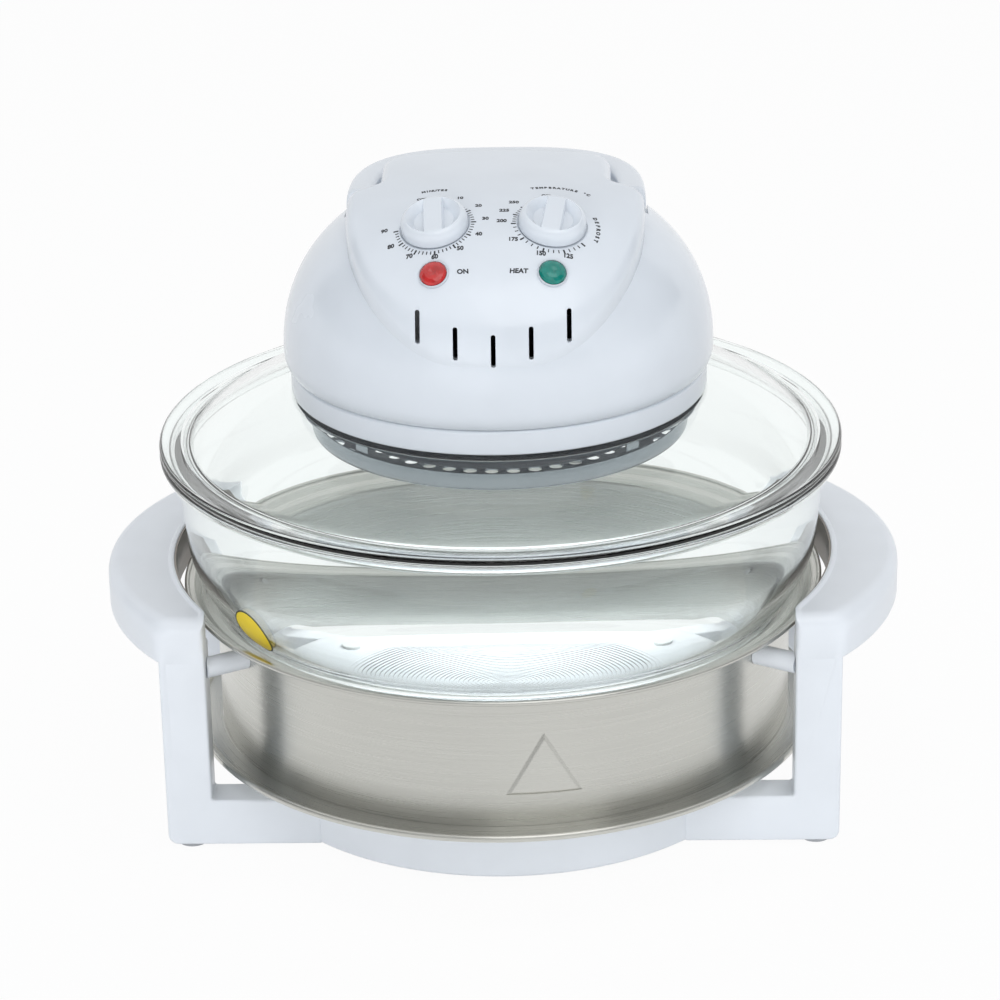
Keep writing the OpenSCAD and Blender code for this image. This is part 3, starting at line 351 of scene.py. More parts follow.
def metalFinish(name, colour, roughness, across=2600.0, along=1.4, bump=0.05, spread=0.06, brushed=0.0):
    # Rolled or turned metal: fine lines round the axis in its height, gloss and colour; brushed metal also
    # blurs its reflections across the lines, whose direction is the upright axis crossed with the place
    made, tree, surface = newFinish(name, Metallic=1.0, Anisotropic=brushed, Anisotropic_Rotation=0.25)
    if brushed:
        place, up = addNode(tree, "TexCoord").outputs["Object"], (0, 0, 1)
        cross = addNode(tree, "VectorMath", {0: up, 1: place}, operation="CROSS_PRODUCT")
        tangent = addNode(tree, "VectorMath", {0: cross.outputs[0]}, operation="NORMALIZE")
        tree.links.new(tangent.outputs[0], surface.inputs["Tangent"])
    lines = useGroup(tree, "rollLines", {"Across": across, "Along": along})
    driftLook(tree, surface, colour, spread, roughness, 0.2, lines["Patches"], lines["Lines"])
    raiseSkin(tree, surface, lines["Lines"], bump, 0.0003)
    return made


def glassFinish(name, colour, roughness):
    # Clear pressed glass: one plain colour for the light, and a faint slow unevenness of the surface
    made, tree, surface = newFinish(name, Transmission_Weight=1.0, IOR=1.47, Roughness=roughness,
                                    Base_Color=shade(colour, 1))
    grain = useGroup(tree, "mouldGrain", {"Fine size": 40.0, "Wave size": 14.0, "Wave share": 0.7})
    raiseSkin(tree, surface, grain["Height"], 0.015, 0.002)
    return made


finishes = {
    "stand_plastic": mouldedFinish("standPlastic", (0.83, 0.865, 0.91), 0.34, bump=0.03, Coat_Weight=0.15,
                                   Coat_Roughness=0.25),
    "head_plastic": mouldedFinish("headPlastic", (0.745, 0.79, 0.845), 0.24, fine=600.0, bump=0.015,
                                  Coat_Weight=0.35, Coat_Roughness=0.12),
    "band_steel": metalFinish("bandSteel", (0.60, 0.60, 0.565), 0.30, bump=0.006, spread=0.03, brushed=0.85),
    # The liner is steel that is partly its own darker tone and partly painted shade: its colour is darkened
    # and browned to match the shade in the gap between handle and band
    "liner_steel": metalFinish("linerSteelPaintedShade", (0.30, 0.275, 0.25), 0.42, spread=0.12),
    "screw_steel": metalFinish("screwSteel", (0.60, 0.60, 0.59), 0.35),
    "foot_rubber": mouldedFinish("footRubber", (0.45, 0.46, 0.48), 0.7, fine=1400.0, share=0.2, bump=0.2,
                                 spread=0.1),
    "oven_glass": glassFinish("ovenGlass", (0.96, 0.985, 0.98), 0.0),
    "gasket_silicone": mouldedFinish("gasketSilicone", (0.66, 0.66, 0.64), 0.45, bump=0.05),
    "guard_steel": metalFinish("guardSteel", (0.31, 0.345, 0.365), 0.22, bump=0.006),
    "quartz_tube": glassFinish("quartzTube", (0.97, 0.95, 0.90), 0.05),
    "ceramic": mouldedFinish("capCeramic", (0.85, 0.83, 0.78), 0.6, fine=700.0, share=0.3, bump=0.3),
    "bracket_steel": metalFinish("bracketSteel", (0.50, 0.52, 0.54), 0.4, spread=0.12),
    "core_iron": metalFinish("coreIron", (0.28, 0.29, 0.30), 0.5, across=1100.0, along=0.2, bump=0.4),
    "rotor_aluminium": metalFinish("rotorAluminium", (0.55, 0.56, 0.57), 0.38),
    "copper_wire": metalFinish("copperWire", (0.52, 0.22, 0.09), 0.35, across=2200.0, along=0.1, bump=0.8),
    "bearing_bronze": metalFinish("bearingBronze", (0.45, 0.33, 0.14), 0.45),
    "control_housing": mouldedFinish("controlHousing", (0.62, 0.60, 0.53), 0.5, bump=0.1),
    "red_lens": mouldedFinish("redLens", (0.52, 0.028, 0.028), 0.15, wave=300.0, bump=0.03,
                              spread=0.2, Coat_Weight=0.2),
    "green_lens": mouldedFinish("greenLens", (0.0, 0.21, 0.17), 0.15, wave=300.0, bump=0.03,
                                spread=0.2, Coat_Weight=0.2),
    "bezel_plastic": mouldedFinish("bezelPlastic", (0.62, 0.66, 0.71), 0.4),
    "dark_plastic": mouldedFinish("darkPlastic", (0.02, 0.02, 0.022), 0.45, fine=1200.0, share=0.2, bump=0.15,
                                  spread=0.1),
    "cream_plastic": mouldedFinish("creamPlastic", (0.74, 0.70, 0.58), 0.5, bump=0.1),
    "shaft_steel": metalFinish("shaftSteel", (0.58, 0.58, 0.59), 0.2),
    "fan_aluminium": metalFinish("fanAluminium", (0.60, 0.61, 0.62), 0.32),
    "cooling_plastic": mouldedFinish("coolingPlastic", (0.10, 0.11, 0.12), 0.5, bump=0.1),
}
printInk = mouldedFinish("printInk", (0.02, 0.022, 0.026), 0.6, fine=2000.0, share=0.2, bump=0.05,
                         spread=0.15)
for part in frame["record"]["subparts"]:
    made = frame["nodes"][part["node"]]
    if not made.data.materials:
        made.data.materials.append(None)
    for place in made.material_slots:
        place.material = finishes[part["material_slot"]]
# The heat can's near-black steel colour is painted shade: it stands for the shade and the dark reflections
# inside the head, under the lid glass
for node, own in (("heat_can", metalFinish("canSteelPaintedShade", (0.12, 0.15, 0.17), 0.3, spread=0.12)),
                  ("bowl_pads", mouldedFinish("padSilicone", (0.78, 0.80, 0.80), 0.5, bump=0.05))):
    for place in frame["nodes"][node].material_slots:
        place.material = own
print("finishes ready:", len(finishes))


stand = {
    "baseR": 126.0, "baseWall": 4.0, "baseRound": 2.0, "baseEdge": 2.0, "baseSide": 8.0, "barTop": 25.8,
    "barIn": 87.0, "barLow": 2.0, "legIn": 139.0, "legOut": 161.5, "legY": 91.0, "legDepth": 18.7,
    "legInset": 0.25, "legBack": 0.02, "legTop": 104.0, "legRound": 5.0, "legFillet": 1.5, "edge": 3.0,
    "gripInner": 161.0, "gripSag": 32.0, "gripLow": 98.1, "gripTop": 120.1, "gripRound": 6.0, "endRound": 7.0,
    "endMore": 6.0, "lowRound": 2.5, "gripWall": 3.0, "hollowY": 68.0, "lip": 1.2, "lipFade": 12.0,
}


def baseDish():
    # Revolved: flat top, rounded rim, rounded lower edge, and a hollow below
    s, low, top = stand, levels["baseFoot"], levels["baseTop"]
    outer, under, r = s["baseR"], top - s["baseWall"], s["baseRound"]
    inner = outer - s["baseWall"]
    hollow = rounded([(0, under), (inner, under), (inner, low + 1)], (0, 2, 0), False)
    foot = arc((outer - r, low + r), r, -62, 0, 8)
    over = rounded([(outer, top - s["baseSide"]), (outer, top), (0, top)], (0, s["baseEdge"], 0), False)
    profile = np.vstack([[[0, under]], hollow[1:], foot, over[1:]])
    return addMesh("baseDish", *revolved(profile, 160, closed=False))


def legSolid(sign):
    # An L-shaped outline in X and Z, carried through the leg's depth, its edges rounded
    s, low, gap = stand, stand["barLow"], stand["legInset"]
    into, out, front = s["legIn"] + gap, s["legOut"] - gap, (s["legY"] - gap) * mm
    outline = rounded([(s["barIn"], low), (out, low), (out, s["legTop"]), (into, s["legTop"]),
                       (into, s["barTop"]), (s["barIn"], s["barTop"])],
                      (0, s["legRound"], 0, 0, s["legFillet"], 0), steps=8)
    leg = prism("leg", outline, s["legBack"], s["legDepth"])
    moveVertices(leg.data, lambda p: np.column_stack([p[:, 0], sign * (front - p[:, 2]), p[:, 1]]))
    work = bmesh.new()
    work.from_mesh(leg.data)
    bmesh.ops.recalc_face_normals(work, faces=work.faces)
    work.to_mesh(leg.data)
    work.free()
    softenEdges(leg, s["edge"], 4)
    return leg


def drawnIn(over, size):
    # How far a quarter round of the size has drawn a surface in, this far after its start
    return size * (1 - np.sqrt(1 - np.clip(over / size, 0, 1) ** 2))


def gripSolid():
    # Across each place y along the handle goes one section, from the inner edge to the outer arc: up the
    # inner side, over the lip and the flat top, round the outer edge, down and back; both ends are rounded
    s, low, wall = stand, stand["gripLow"], stand["gripWall"]
    outerR = (s["legY"] ** 2 + s["gripSag"] ** 2) / (2 * s["gripSag"])
    centre = s["legOut"] + s["gripSag"] - outerR
    start = s["legY"] - s["endRound"]
    ends = start + s["endRound"] * np.sin(np.radians(np.linspace(0, 90, 11)))[1:]
    y = np.concatenate([-ends[::-1], np.linspace(-start, start, 91), ends])[:, None]
    tuck = drawnIn(np.abs(y) - s["legY"] + s["edge"], s["edge"])
    inner = np.maximum(np.sqrt(s["gripInner"] ** 2 - y ** 2), s["legIn"]) + tuck
    outer = centre + np.sqrt(outerR ** 2 - y ** 2) - tuck
    top = s["gripTop"] - drawnIn(np.abs(y) - start, s["endRound"])
    lipX, lipZ = rounded([(0, -5), (0, s["lip"]), (1.6, s["lip"]), (2.8, 0), (4.2, 0)], (0, 0.6, 0.7, 0.8, 0),
                         False, 4).T
    fade = np.clip((s["legY"] - s["edge"] - np.abs(y)) / s["lipFade"], 0, 1)
    more = s["endMore"] * (y / s["legY"]) ** 2
    a = np.radians(np.linspace(90, 0, 13))
    wide, high, r = s["gripRound"] + more, s["gripRound"] + 0.6 * more, s["lowRound"]
    x = np.hstack([inner + lipX, outer - wide * (1 - np.cos(a)), outer - r * (1 - np.cos(a[::-2])), inner])
    z = np.hstack([top + np.where(lipZ > 0, lipZ * fade, lipZ), top - high * (1 - np.sin(a)),
                   low + r * (1 - np.sin(a[::-2])) + 0 * top, low + 0 * top])
    points = np.stack([x, np.broadcast_to(y, x.shape), z], -1)
    grip = addMesh("grip", points, cappedFaces(*x.shape))
    yIn = np.linspace(-s["hollowY"], s["hollowY"], 49)
    hollow = np.vstack([np.column_stack([np.sqrt((s["gripInner"] + wall) ** 2 - yIn ** 2), yIn]),
                        np.column_stack([centre + np.sqrt((outerR - wall) ** 2 - yIn ** 2), yIn])[::-1]])
    return grip, prism("hollow", hollow, low - 5, s["gripTop"] - wall)


def sideFrames():
    # Each side is one white moulding: the handle with its two legs; the left one is its mirror image
    grip, hollow = gripSolid()
    combine(grip, [hollow])
    combine(grip, [legSolid(-1), legSolid(1)], "UNION")
    grip.name = "sideFrame_right"
    other = grip.copy()
    other.data = grip.data.copy()
    other.name = "sideFrame_left"
    scene.collection.objects.link(other)
    moveVertices(other.data, lambda p: p * [-1, 1, 1])
    other.data.flip_normals()
    smoothMesh(other.data)
    for piece, side in ((grip, "right"), (other, "left")):
        nodes = [start + side for start in ("side_handle_", "leg_front_", "leg_rear_")]
        finishPiece(piece, "stand", "stand_plastic", *nodes)


finishPiece(baseDish(), "stand", "stand_plastic", "base_disc")
sideFrames()
print("stand ready")


band = {
    "radius": 141.0, "sheet": 0.6, "wallLow": 36.0, "wallTop": 100.5, "rimRadius": 156.5, "flangeRise": 6.6,
    "bead": 1.2, "stepsOut": ((0.25, 0.3), (0.5, 0.4), (0.72, 0.86)), "lowerZ": 37.0, "lowerRadius": 154.5,
    "stepsIn": ((0.68, 0.93), (0.45, 0.52), (0.2, 0.41)), "lowBead": 1.8, "emblemAngle": -81.5,
    "emblemZ": 64.0, "emblemSide": 36.5, "emblemRise": 1.6, "emblemSoft": 1.8,
}


def bandShell():
    # Revolved sheet, open below: upright wall, stepped flange with two soft rings, and a rolled bead;
    # the steps are shares of the flange's run and rise
    b, low = band, band["wallLow"]
    run, rise, top = b["rimRadius"] - b["radius"], b["flangeRise"], b["wallTop"]
    rim, inner = b["rimRadius"] - b["bead"], b["radius"] - b["sheet"]
    over, under = ([(b["radius"] + u * run, top + v * rise) for u, v in b[key]]
                   for key in ("stepsOut", "stepsIn"))
    outerSide = rounded([(inner, low), (b["radius"], low), (b["radius"], top), *over,
                         (rim, top + rise - b["sheet"])], (0, 0.2, 1.4, 1.5, 1.5, 2, 0), False)
    bead = arc((rim, top + rise), b["bead"], -60, 200, 16)
    innerSide = rounded([(rim - 0.9, top + rise - 0.1), *under, (inner, top + 0.1 * rise), (inner, low + 1)],
                        (0, 2, 1.5, 1.5, 1.6, 0), False)
    return addMesh("bandShell", *revolved(np.vstack([outerSide, bead, innerSide]), 256))


def lowerRim():
    # Revolved: a flat ledge with a gutter near its edge, and a full rolled bead
    z, start, r, full = band["lowerZ"], band["radius"] + 0.1, band["lowerRadius"], band["lowBead"]
    edge = r - 2 * full
    under = rounded([(start, z - 1), (start + 1.2, z - 1), (edge - 1, z - 1), (edge, z - 1.2)],
                    (0, 0, 0.6, 0), False, 4)
    bead = arc((r - full, z), full, -110, 175, 20)
    over = rounded([(edge - 0.3, z - 0.4), (edge - 1.5, z - 0.2), (start, z + 0.3)], (0, 0.6, 0), False, 4)
    return addMesh("lowerRimRing", *revolved(np.vstack([under, bead, over]), 256))


def pressedTriangle():
    # A patch on the band: its rise is a soft step of the smallest distance to the three sides
    b, half = band, band["emblemSide"] / 2 + 4
    across = np.linspace(-half, half, 121)
    u, v = np.meshgrid(across, across, indexing="ij")
    inner = b["emblemSide"] / (2 * math.sqrt(3))
    reach = np.min([inner - (u * math.cos(a) + v * math.sin(a)) for a in np.radians([-90, 30, 150])], 0)
    s = np.clip(reach / b["emblemSoft"], 0, 1)
    r = b["radius"] + b["emblemRise"] * s * s * (3 - 2 * s) - 0.12 * (reach < 0)
    a = math.radians(b["emblemAngle"]) + u / b["radius"]
    points = np.stack([r * np.cos(a), r * np.sin(a), b["emblemZ"] + v], -1)
    return addMesh("pressedTriangle", points, gridFaces(*u.shape), 80, outward=False)


finishPiece(bandShell(), "stand", "band_steel", "heat_band")
finishPiece(lowerRim(), "stand", "band_steel", "lower_rim")
finishPiece(pressedTriangle(), "stand", "band_steel")
print("band ready")


bowl = {
    "rim": 165.0, "wall": 4.5, "rimThick": 3.6, "waist": 138.2, "waistZ": 70.2, "lowSlope": 12, "topSlope": 5,
    "shoulderSlope": 43, "shoulderR": 48.0, "waistR": 12.0, "cornerR": 22.0, "neckUnder": 3.0,
    "ribPitch": 2.5, "ribRise": 0.22, "ribReach": 88.0, "ribFade": 12.0,
}


def bowlWall(off):
    # The wall's profile from the foot up to the neck, moved inwards by off
    b, foot = bowl, levels["bowlFoot"]
    low, lean = math.radians(b["lowSlope"]), math.radians(b["shoulderSlope"])
    waist = (b["waist"] + b["waistR"] * math.cos(low), foot + b["waistZ"] - b["waistR"] * math.sin(low))
    both = b["waistR"] + b["shoulderR"]
    shoulder = (waist[0] - both * math.cos(lean), waist[1] + both * math.sin(lean))
    cornerZ = foot + b["cornerR"]
    cornerTop = cornerZ - b["cornerR"] * math.sin(low)
    cornerX = b["waist"] - math.tan(low) * (foot + b["waistZ"] - cornerTop) - b["cornerR"] * math.cos(low)
    neckZ = levels["bowlTop"] - b["rimThick"] - b["neckUnder"]
    upper = arc(shoulder, b["shoulderR"] - off, -b["shoulderSlope"], -b["topSlope"], 16)
    neck = upper[-1, 0] + math.tan(math.radians(b["topSlope"])) * (neckZ - upper[-1, 1])
    return np.vstack([arc((cornerX, cornerZ), b["cornerR"] - off, -90, -b["lowSlope"], 14),
                      arc(waist, b["waistR"] + off, 180 - b["lowSlope"], 180 - b["shoulderSlope"], 8),
                      upper, [[neck, neckZ]]])


def bowlGlass():
    # Revolved: fine rings pressed into the underside, the shouldered wall, a flat rim, and back inside
    b, foot, top = bowl, levels["bowlFoot"], levels["bowlTop"]
    outer, inner, under = bowlWall(0), bowlWall(b["wall"]), top - b["rimThick"]
    r = np.arange(0, b["ribReach"], b["ribPitch"] / 4)
    fade = np.clip((b["ribReach"] - r) / b["ribFade"], 0, 1)
    ribs = np.column_stack([r, foot + b["ribRise"] * fade * (1 - np.cos(2 * np.pi * r / b["ribPitch"]))])
    rim = rounded([outer[-1], (outer[-1, 0] + 2.2, under), (b["rim"], under), (b["rim"], top),
                   (inner[-1, 0] + 0.3, top), inner[-1]], (0, 1.8, 1.7, 1.7, 0.8, 0), False, 8)
    profile = np.vstack([ribs, outer, rim[1:-1], inner[::-1], [[0, foot + b["wall"]]]])
    return addMesh("bowlGlass", *revolved(profile, 200, closed=False), angle=50)


lid = {
    "flat": 153.5, "foot": 150.0, "domeEnd": 100.0, "hole": 86.0, "thick": 4.0, "lipR": 151.0, "lipWide": 3.0,
    "lipDeep": 5.0,
}


def lidDome():
    # Revolved: locating lip, flat rim, a step, and an arc that rises to the flat under the head; the arc's
    # radius is twice its chord, so that half of its turn has the sine 1/4
    d, rim, seat, top, low = lid, bowl["rim"], levels["lidSeat"], levels["lidTop"], levels["lidRimTop"]
    run, deep, lipIn = d["foot"] - d["domeEnd"], seat - d["lipDeep"], d["lipR"] - d["lipWide"]
    radius, lean = 2 * math.hypot(run, top - low), math.degrees(math.atan((top - low) / run))
    half = math.degrees(math.asin(0.25))
    first, last = 90 - lean - half, 90 - lean + half
    turn = math.radians(last)
    centre = (d["domeEnd"] - radius * math.cos(turn), top - radius * math.sin(turn))
    under = arc(centre, radius - d["thick"], last, first + 1.5, 24)
    over = arc(centre, radius, first, last, 24)
    edge = rounded([(lipIn, seat + 0.5), (lipIn, deep), (d["lipR"], deep), (d["lipR"], seat), (rim, seat),
                    (rim, low), (d["flat"] + 1, low), (d["flat"], low - 0.8), (d["foot"] + 1, low - 0.6)],
                   (0, 1, 1, 0.6, 1.9, 1.9, 0.6, 0.6, 0), False, 8)
    hole = rounded([(d["domeEnd"] - 1, top), (d["hole"], top), (d["hole"], top - d["thick"]),
                    (d["domeEnd"] - 1, top - d["thick"])], (0, 1, 1, 0), False, 5)
    return addMesh("lidDome", *revolved(np.vstack([under, edge, over, hole]), 240), angle=50)


for made, body, node in ((bowlGlass(), "bowl", "bowl"), (lidDome(), "lid", "lid_glass")):
    finishPiece(made, body, "oven_glass", node)
    made.visible_shadow = False  # clear glass lets the light through
print("glass ready")


head = {
    "ringR": 100.0, "ringH": 11.0, "ringWall": 4.0, "can": 78.0, "domeR": 103.0, "domeRise": 82.0,
    "power": 2.2, "tuckH": 8.3, "tuckW": 4.5, "shellWall": 2.5, "wellDeep": 17.0, "wellRound": 46.0,
    "wellHalf": 72.0, "wellBack": 84.0, "wellFront": 7.8, "above": 400.0, "pivotY": 8.0, "pivotZ": 67.0,
    "slitWide": 2.2, "slitHigh": 14.5, "slitStep": 17.2, "slitZ": 30.0, "slitLift": (0, 3, 9),
    "slitReach": (-150, -61.5), "rearStep": 6.0, "rearReach": (50, 140), "inletZ": 10.0, "inletWide": 34.0,
    "inletHigh": 24.0, "inletReach": (50, 150), "play": 0.1,
}
panel = {
    "half": 70.0, "reach": 86.0, "midY": -14.0, "power": 2.35, "faceR": 127.0, "faceRise": 88.0,
    "facePower": 2.7, "axisY": 24.0, "tabHalf": 54.5, "tabBack": 36.0, "tabCorner": 12.0, "edge": 4.5,
    "knobX": 27.0, "knobY": -51.0, "tabFront": 8.8, "middleY": -24.0, "sunk": 1.2, "lampY": -77.5,
    "seat": 1.8, "seatGap": 0.9,
}


def domeHeight(r, grow=0.0):
    # Height of the shell over its widest line at the radius r
    u = np.clip(r / (head["domeR"] + grow), 0, 1)
    return levels["domeZ"] + (head["domeRise"] + grow) * (1 - u ** head["power"]) ** (1 / head["power"])


def faceHeight(x, y):
    # Height of the panel's face, a full curve turned about its own axis
    u = np.clip(np.hypot(x, y - panel["axisY"]) / panel["faceR"], 0, 1)
    return levels["faceZ"] + panel["faceRise"] * (1 - u ** panel["facePower"]) ** (1 / panel["facePower"])


def faceFrame(x, y):
    # The point of the panel's face over (x, y), and its directions: along, up the slope, and outwards
    d = math.hypot(x, y - panel["axisY"])
    u, p = d / panel["faceR"], panel["facePower"]
    slope = math.atan(panel["faceRise"] / panel["faceR"] * (1 - u ** p) ** (1 / p - 1) * u ** (p - 1))
    turn = math.atan2(y - panel["axisY"], x)
    there, tilt, back = (Matrix.Rotation(a, 3, axis) for a, axis in ((turn, "Z"), (slope, "Y"), (-turn, "Z")))
    return np.array([x, y, float(faceHeight(x, y))]), np.array(there @ tilt @ back)


def onFace(points, x, y):
    # Points in the face's own directions, moved to the place over (x, y)
    origin, directions = faceFrame(x, y)
    return origin + np.asarray(points, float) @ directions.T


def headRing():
    # Revolved: a flat-sided ring with a rounded foot and a soft shoulder that the shell stands behind
    h, z = head, levels["ringZ"]
    top, hole, foot = z + h["ringH"], h["can"] + 1.2, levels["lidTop"] + 0.15
    inner, outer, over = h["ringR"] - h["ringWall"], h["ringR"], z + 3
    profile = rounded([(hole, z), (inner + 0.4, z), (inner + 0.4, foot), (outer, foot), (outer, top),
                       (inner, top), (inner, over), (hole, over)], (0.5, 0, 0.2, 1.4, 1.6, 0.8, 1, 0.5))
    return addMesh("headRing", *revolved(profile, 224))


def domeSolid(name, grow=0.0, count=224):
    # Revolved full curve with a tucked-in skirt, closed below
    h, z, a = head, levels["domeZ"], np.radians(np.linspace(-90, 0, 9))
    wide, deep = h["domeR"] + grow, h["tuckH"] + max(-grow, 0)
    skirt = np.column_stack([wide - h["tuckW"] * (1 - np.cos(a)), z + deep * np.sin(a)])
    crown = fullCurve(wide, h["domeRise"] + grow, h["power"], 56) + [0, z]
    return addMesh(name, *revolved(np.vstack([[[0, skirt[0, 1]]], skirt, crown[1:]]), count, closed=False))


def wellOutline(grow=0.0):
    # The recess behind the panel: a rounded back, and a notch in its front for the panel's tab
    half, back, bend = (head[key] + grow for key in ("wellHalf", "wellBack", "wellRound"))
    front = head["pivotY"] - head["wellFront"] - grow
    tab, tabBack = panel["tabHalf"] - grow, panel["tabBack"] - grow
    corner = max(panel["tabCorner"] - grow, 1)
    points = [(half, front), (half, back), (-half, back), (-half, front),
              (-tab, front), (-tab, tabBack), (tab, tabBack), (tab, front)]
    return rounded(points, (0, bend, bend, 0, 0, corner, corner, 0), True, 12)


def rearCutters():
    # Upright slots on both sides of the inlet, turned about the axis
    h, made = head, []
    half, low, (near, far) = h["slitWide"] / 2, levels["domeZ"] + h["inletZ"], h["rearReach"]
    for i in (-3, -2, -1, 1, 2, 3):
        turn = math.radians(i * h["rearStep"] + math.copysign(2 * h["rearStep"], i))
        outline = np.array(oblong(-half, near, half, far)) @ spin(turn).T
        made.append(prism("rearSlit", outline, low, low + h["inletHigh"]))
    return made


def frontSlits():
    # Upright slots side by side, each a rounded slot carried along Y
    h, made = head, []
    wide, high = h["slitWide"] / 2, h["slitHigh"] / 2
    outline = rounded(oblong(-wide, -high, wide, high), 0.9, True, 3)
    for i in range(-2, 3):
        x = outline[:, 0] + i * h["slitStep"]
        z = outline[:, 1] + levels["domeZ"] + h["slitZ"] + h["slitLift"][abs(i)]
        points = [np.column_stack([x, np.full(len(x), y), z]) for y in h["slitReach"]]
        made.append(addMesh("slit", np.vstack(points), cappedFaces(2, len(x))))
    return made


def headShell():
    # The domed shell, hollow inside, with the handle's recess, the slits and the inlet's hole cut out
    h, wall, above, play = head, head["shellWall"], head["above"], head["play"]
    wellZ = levels["domeZ"] + h["pivotZ"] - h["wellDeep"]
    shell = domeSolid("headShell")
    hollow = domeSolid("hollow", -wall, 128)
    combine(hollow, [prism("well", wellOutline(wall), wellZ - wall, above)])
    combine(shell, [prism("well", wellOutline(), wellZ, above), hollow])
    z, w, (near, far) = levels["domeZ"] + h["inletZ"], h["inletWide"] / 2 + play, h["inletReach"]
    inlet = prism("inlet", oblong(-w, near, w, far), z - play, z + h["inletHigh"] + play)
    combine(shell, frontSlits() + rearCutters() + [inlet])
    return shell


def panelOutline(steps=64):
    # The panel's plan: a full curve as its front, rounded shoulders, and the tab with its round corners
    p = panel
    front = fullCurve(p["half"], p["reach"], p["power"], steps) * [1, -1] + [0, p["midY"]]
    shoulder = arc((p["half"] - 8, p["midY"] + 4), 8, 0, 80, 10)
    notch = [[p["tabHalf"], head["pivotY"] - p["tabFront"]]]
    tab = arc((p["tabHalf"] - p["tabCorner"], p["tabBack"] - p["tabCorner"]), p["tabCorner"], 0, 90, 12)
    right = np.vstack([front[::-1], shoulder, notch, tab])
    return np.vstack([right, right[::-1][:-1] * [-1, 1]])


def resampled(loop, count):
    # The closed loop again with evenly spaced points
    closed = np.vstack([loop, loop[:1]])
    along = runLength(closed)
    spots = np.linspace(0, along[-1], count, endpoint=False)
    return np.column_stack([np.interp(spots, along, closed[:, i]) for i in (0, 1)])


def inset(loop, distance):
    # Each point moved inwards along the mean normal of its two sides; the loop runs anticlockwise
    n = np.zeros(loop.shape)
    for side in (np.roll(loop, -1, 0) - loop, loop - np.roll(loop, 1, 0)):
        n += np.column_stack([-side[:, 1], side[:, 0]]) / np.linalg.norm(side, axis=1)[:, None]
    return loop + distance * n / np.linalg.norm(n, axis=1)[:, None]


def controlPanel():
    # Rows of points from the middle out to the outline, over a quarter-round edge, and down into the shell
    p = panel
    loop = resampled(panelOutline(), 420)
    inner = inset(loop, p["edge"])
    for _ in range(6):
        inner = (np.roll(inner, 1, 0) + 2 * inner + np.roll(inner, -1, 0)) / 4
    middle, s = np.array([0.0, p["middleY"]]), np.linspace(0, 1, 40)[:, None, None]
    t = np.radians(np.linspace(0, 90, 9)[1:])[:, None, None]
    face = np.concatenate([middle + s * (inner - middle), inner + (loop - inner) * np.sin(t)])
    drops = np.vstack([np.zeros((40, 1)), p["edge"] * (1 - np.cos(t[:, 0]))])
    z = faceHeight(face[..., 0], face[..., 1]) - drops
    shares = np.array([0.75, 0.5, 0.25, 0])[:, None, None]
    back = np.concatenate([loop[None], middle + shares * (loop - middle)])
    backZ = domeHeight(np.hypot(back[..., 0], back[..., 1])) - p["sunk"]
    backZ[0] = np.minimum(z[-1], backZ[0])
    points = np.concatenate([np.concatenate([face, back]), np.vstack([z, backZ])[..., None]], -1)
    made = addMesh("controlPanel", points, gridFaces(len(points), len(loop), False, True))
    cutters = frontSlits()
    for side in (-1, 1):
        ring = arc((0, 0), knob["radius"] + p["seatGap"], 0, 360, 72)[:-1]
        hole = prism("seat", ring, -p["seat"], 20)
        placeOnFace(hole, side * p["knobX"], p["knobY"])
        cutters.append(hole)
    combine(made, cutters)
    softenEdges(made, 0.35, 2, 60)
    return made


def placeOnFace(piece, x, y):
    # Moves a mesh made at the origin to its place on the panel's face
    moveVertices(piece.data, lambda p: onFace(p / mm, x, y) * mm)


knob = {
    "radius": 15.6, "high": 8.0, "foot": -1.4, "shoulder": 4.0, "side": 4.8, "bar": 8.0, "pocketR": 13.1,
    "floorR": 9.2, "pocket": 3.9, "draft": 0.9, "turned": {"timer": 1.0, "temperature": -6.0},
}


def pocketCutter(side):
    # A D-shaped outline that narrows downwards, from over the knob's top to the floor of its pocket
    k, rings = knob, []
    slope = (k["pocketR"] - k["floorR"]) / k["pocket"]
    for up, reach, edge in ((1.0, k["pocketR"] + slope, k["bar"] / 2 - 0.1),
                            (-k["pocket"], k["floorR"], k["bar"] / 2 + k["draft"])):
        last = math.degrees(math.acos(edge / reach))
        ring = arc((0, 0), reach, -last, last, 40) * [side, 1]
        rings.append(np.column_stack([ring, np.full(len(ring), k["high"] + up)]))
    return addMesh("pocket", np.vstack(rings), cappedFaces(2, len(rings[0])))


def knobGrip(name, x, turn):
    # Revolved: a low round knob with a broad round shoulder, and a pocket on both sides of its bar
    k, a = knob, np.radians(np.linspace(90, 0, 17))
    wide, high = k["radius"], k["high"]
    top, foot = [[r, high] for r in (0, 4, 8)], [[wide, 0.4], [wide - 0.4, 0], [0, 0]]
    shoulder = np.column_stack([wide - k["shoulder"] * (1 - np.cos(a)), high - k["side"] * (1 - np.sin(a))])
    made = addMesh(name, *revolved(np.vstack([top, shoulder, foot]), 144, closed=False))
    combine(made, [pocketCutter(-1), pocketCutter(1)])
    softenEdges(made, 0.55, 4, 32)
    down = Matrix.Translation((0, 0, k["foot"] * mm))
    made.data.transform(down @ Matrix.Rotation(math.radians(turn), 4, "Z"))
    placeOnFace(made, x, panel["knobY"])
    return made


finishPiece(headRing(), "lid", "head_plastic", "head_base")
finishPiece(headShell(), "lid", "head_plastic", "head_shell")
finishPiece(controlPanel(), "lid", "head_plastic", "control_panel")
for node, side in (("timer", -1), ("temperature", 1)):
    made = knobGrip(node + "Grip", side * panel["knobX"], knob["turned"][node])
    finishPiece(made, node + "_knob", "head_plastic", node + "_knob")
print("head ready")


bail = {
    "half": 71.0, "reach": 80.0, "wide": 13.5, "power": 3.0, "section": 4.2, "halfHigh": 7.0, "gripTop": 73.0,
    "gripLow": 59.0,
}


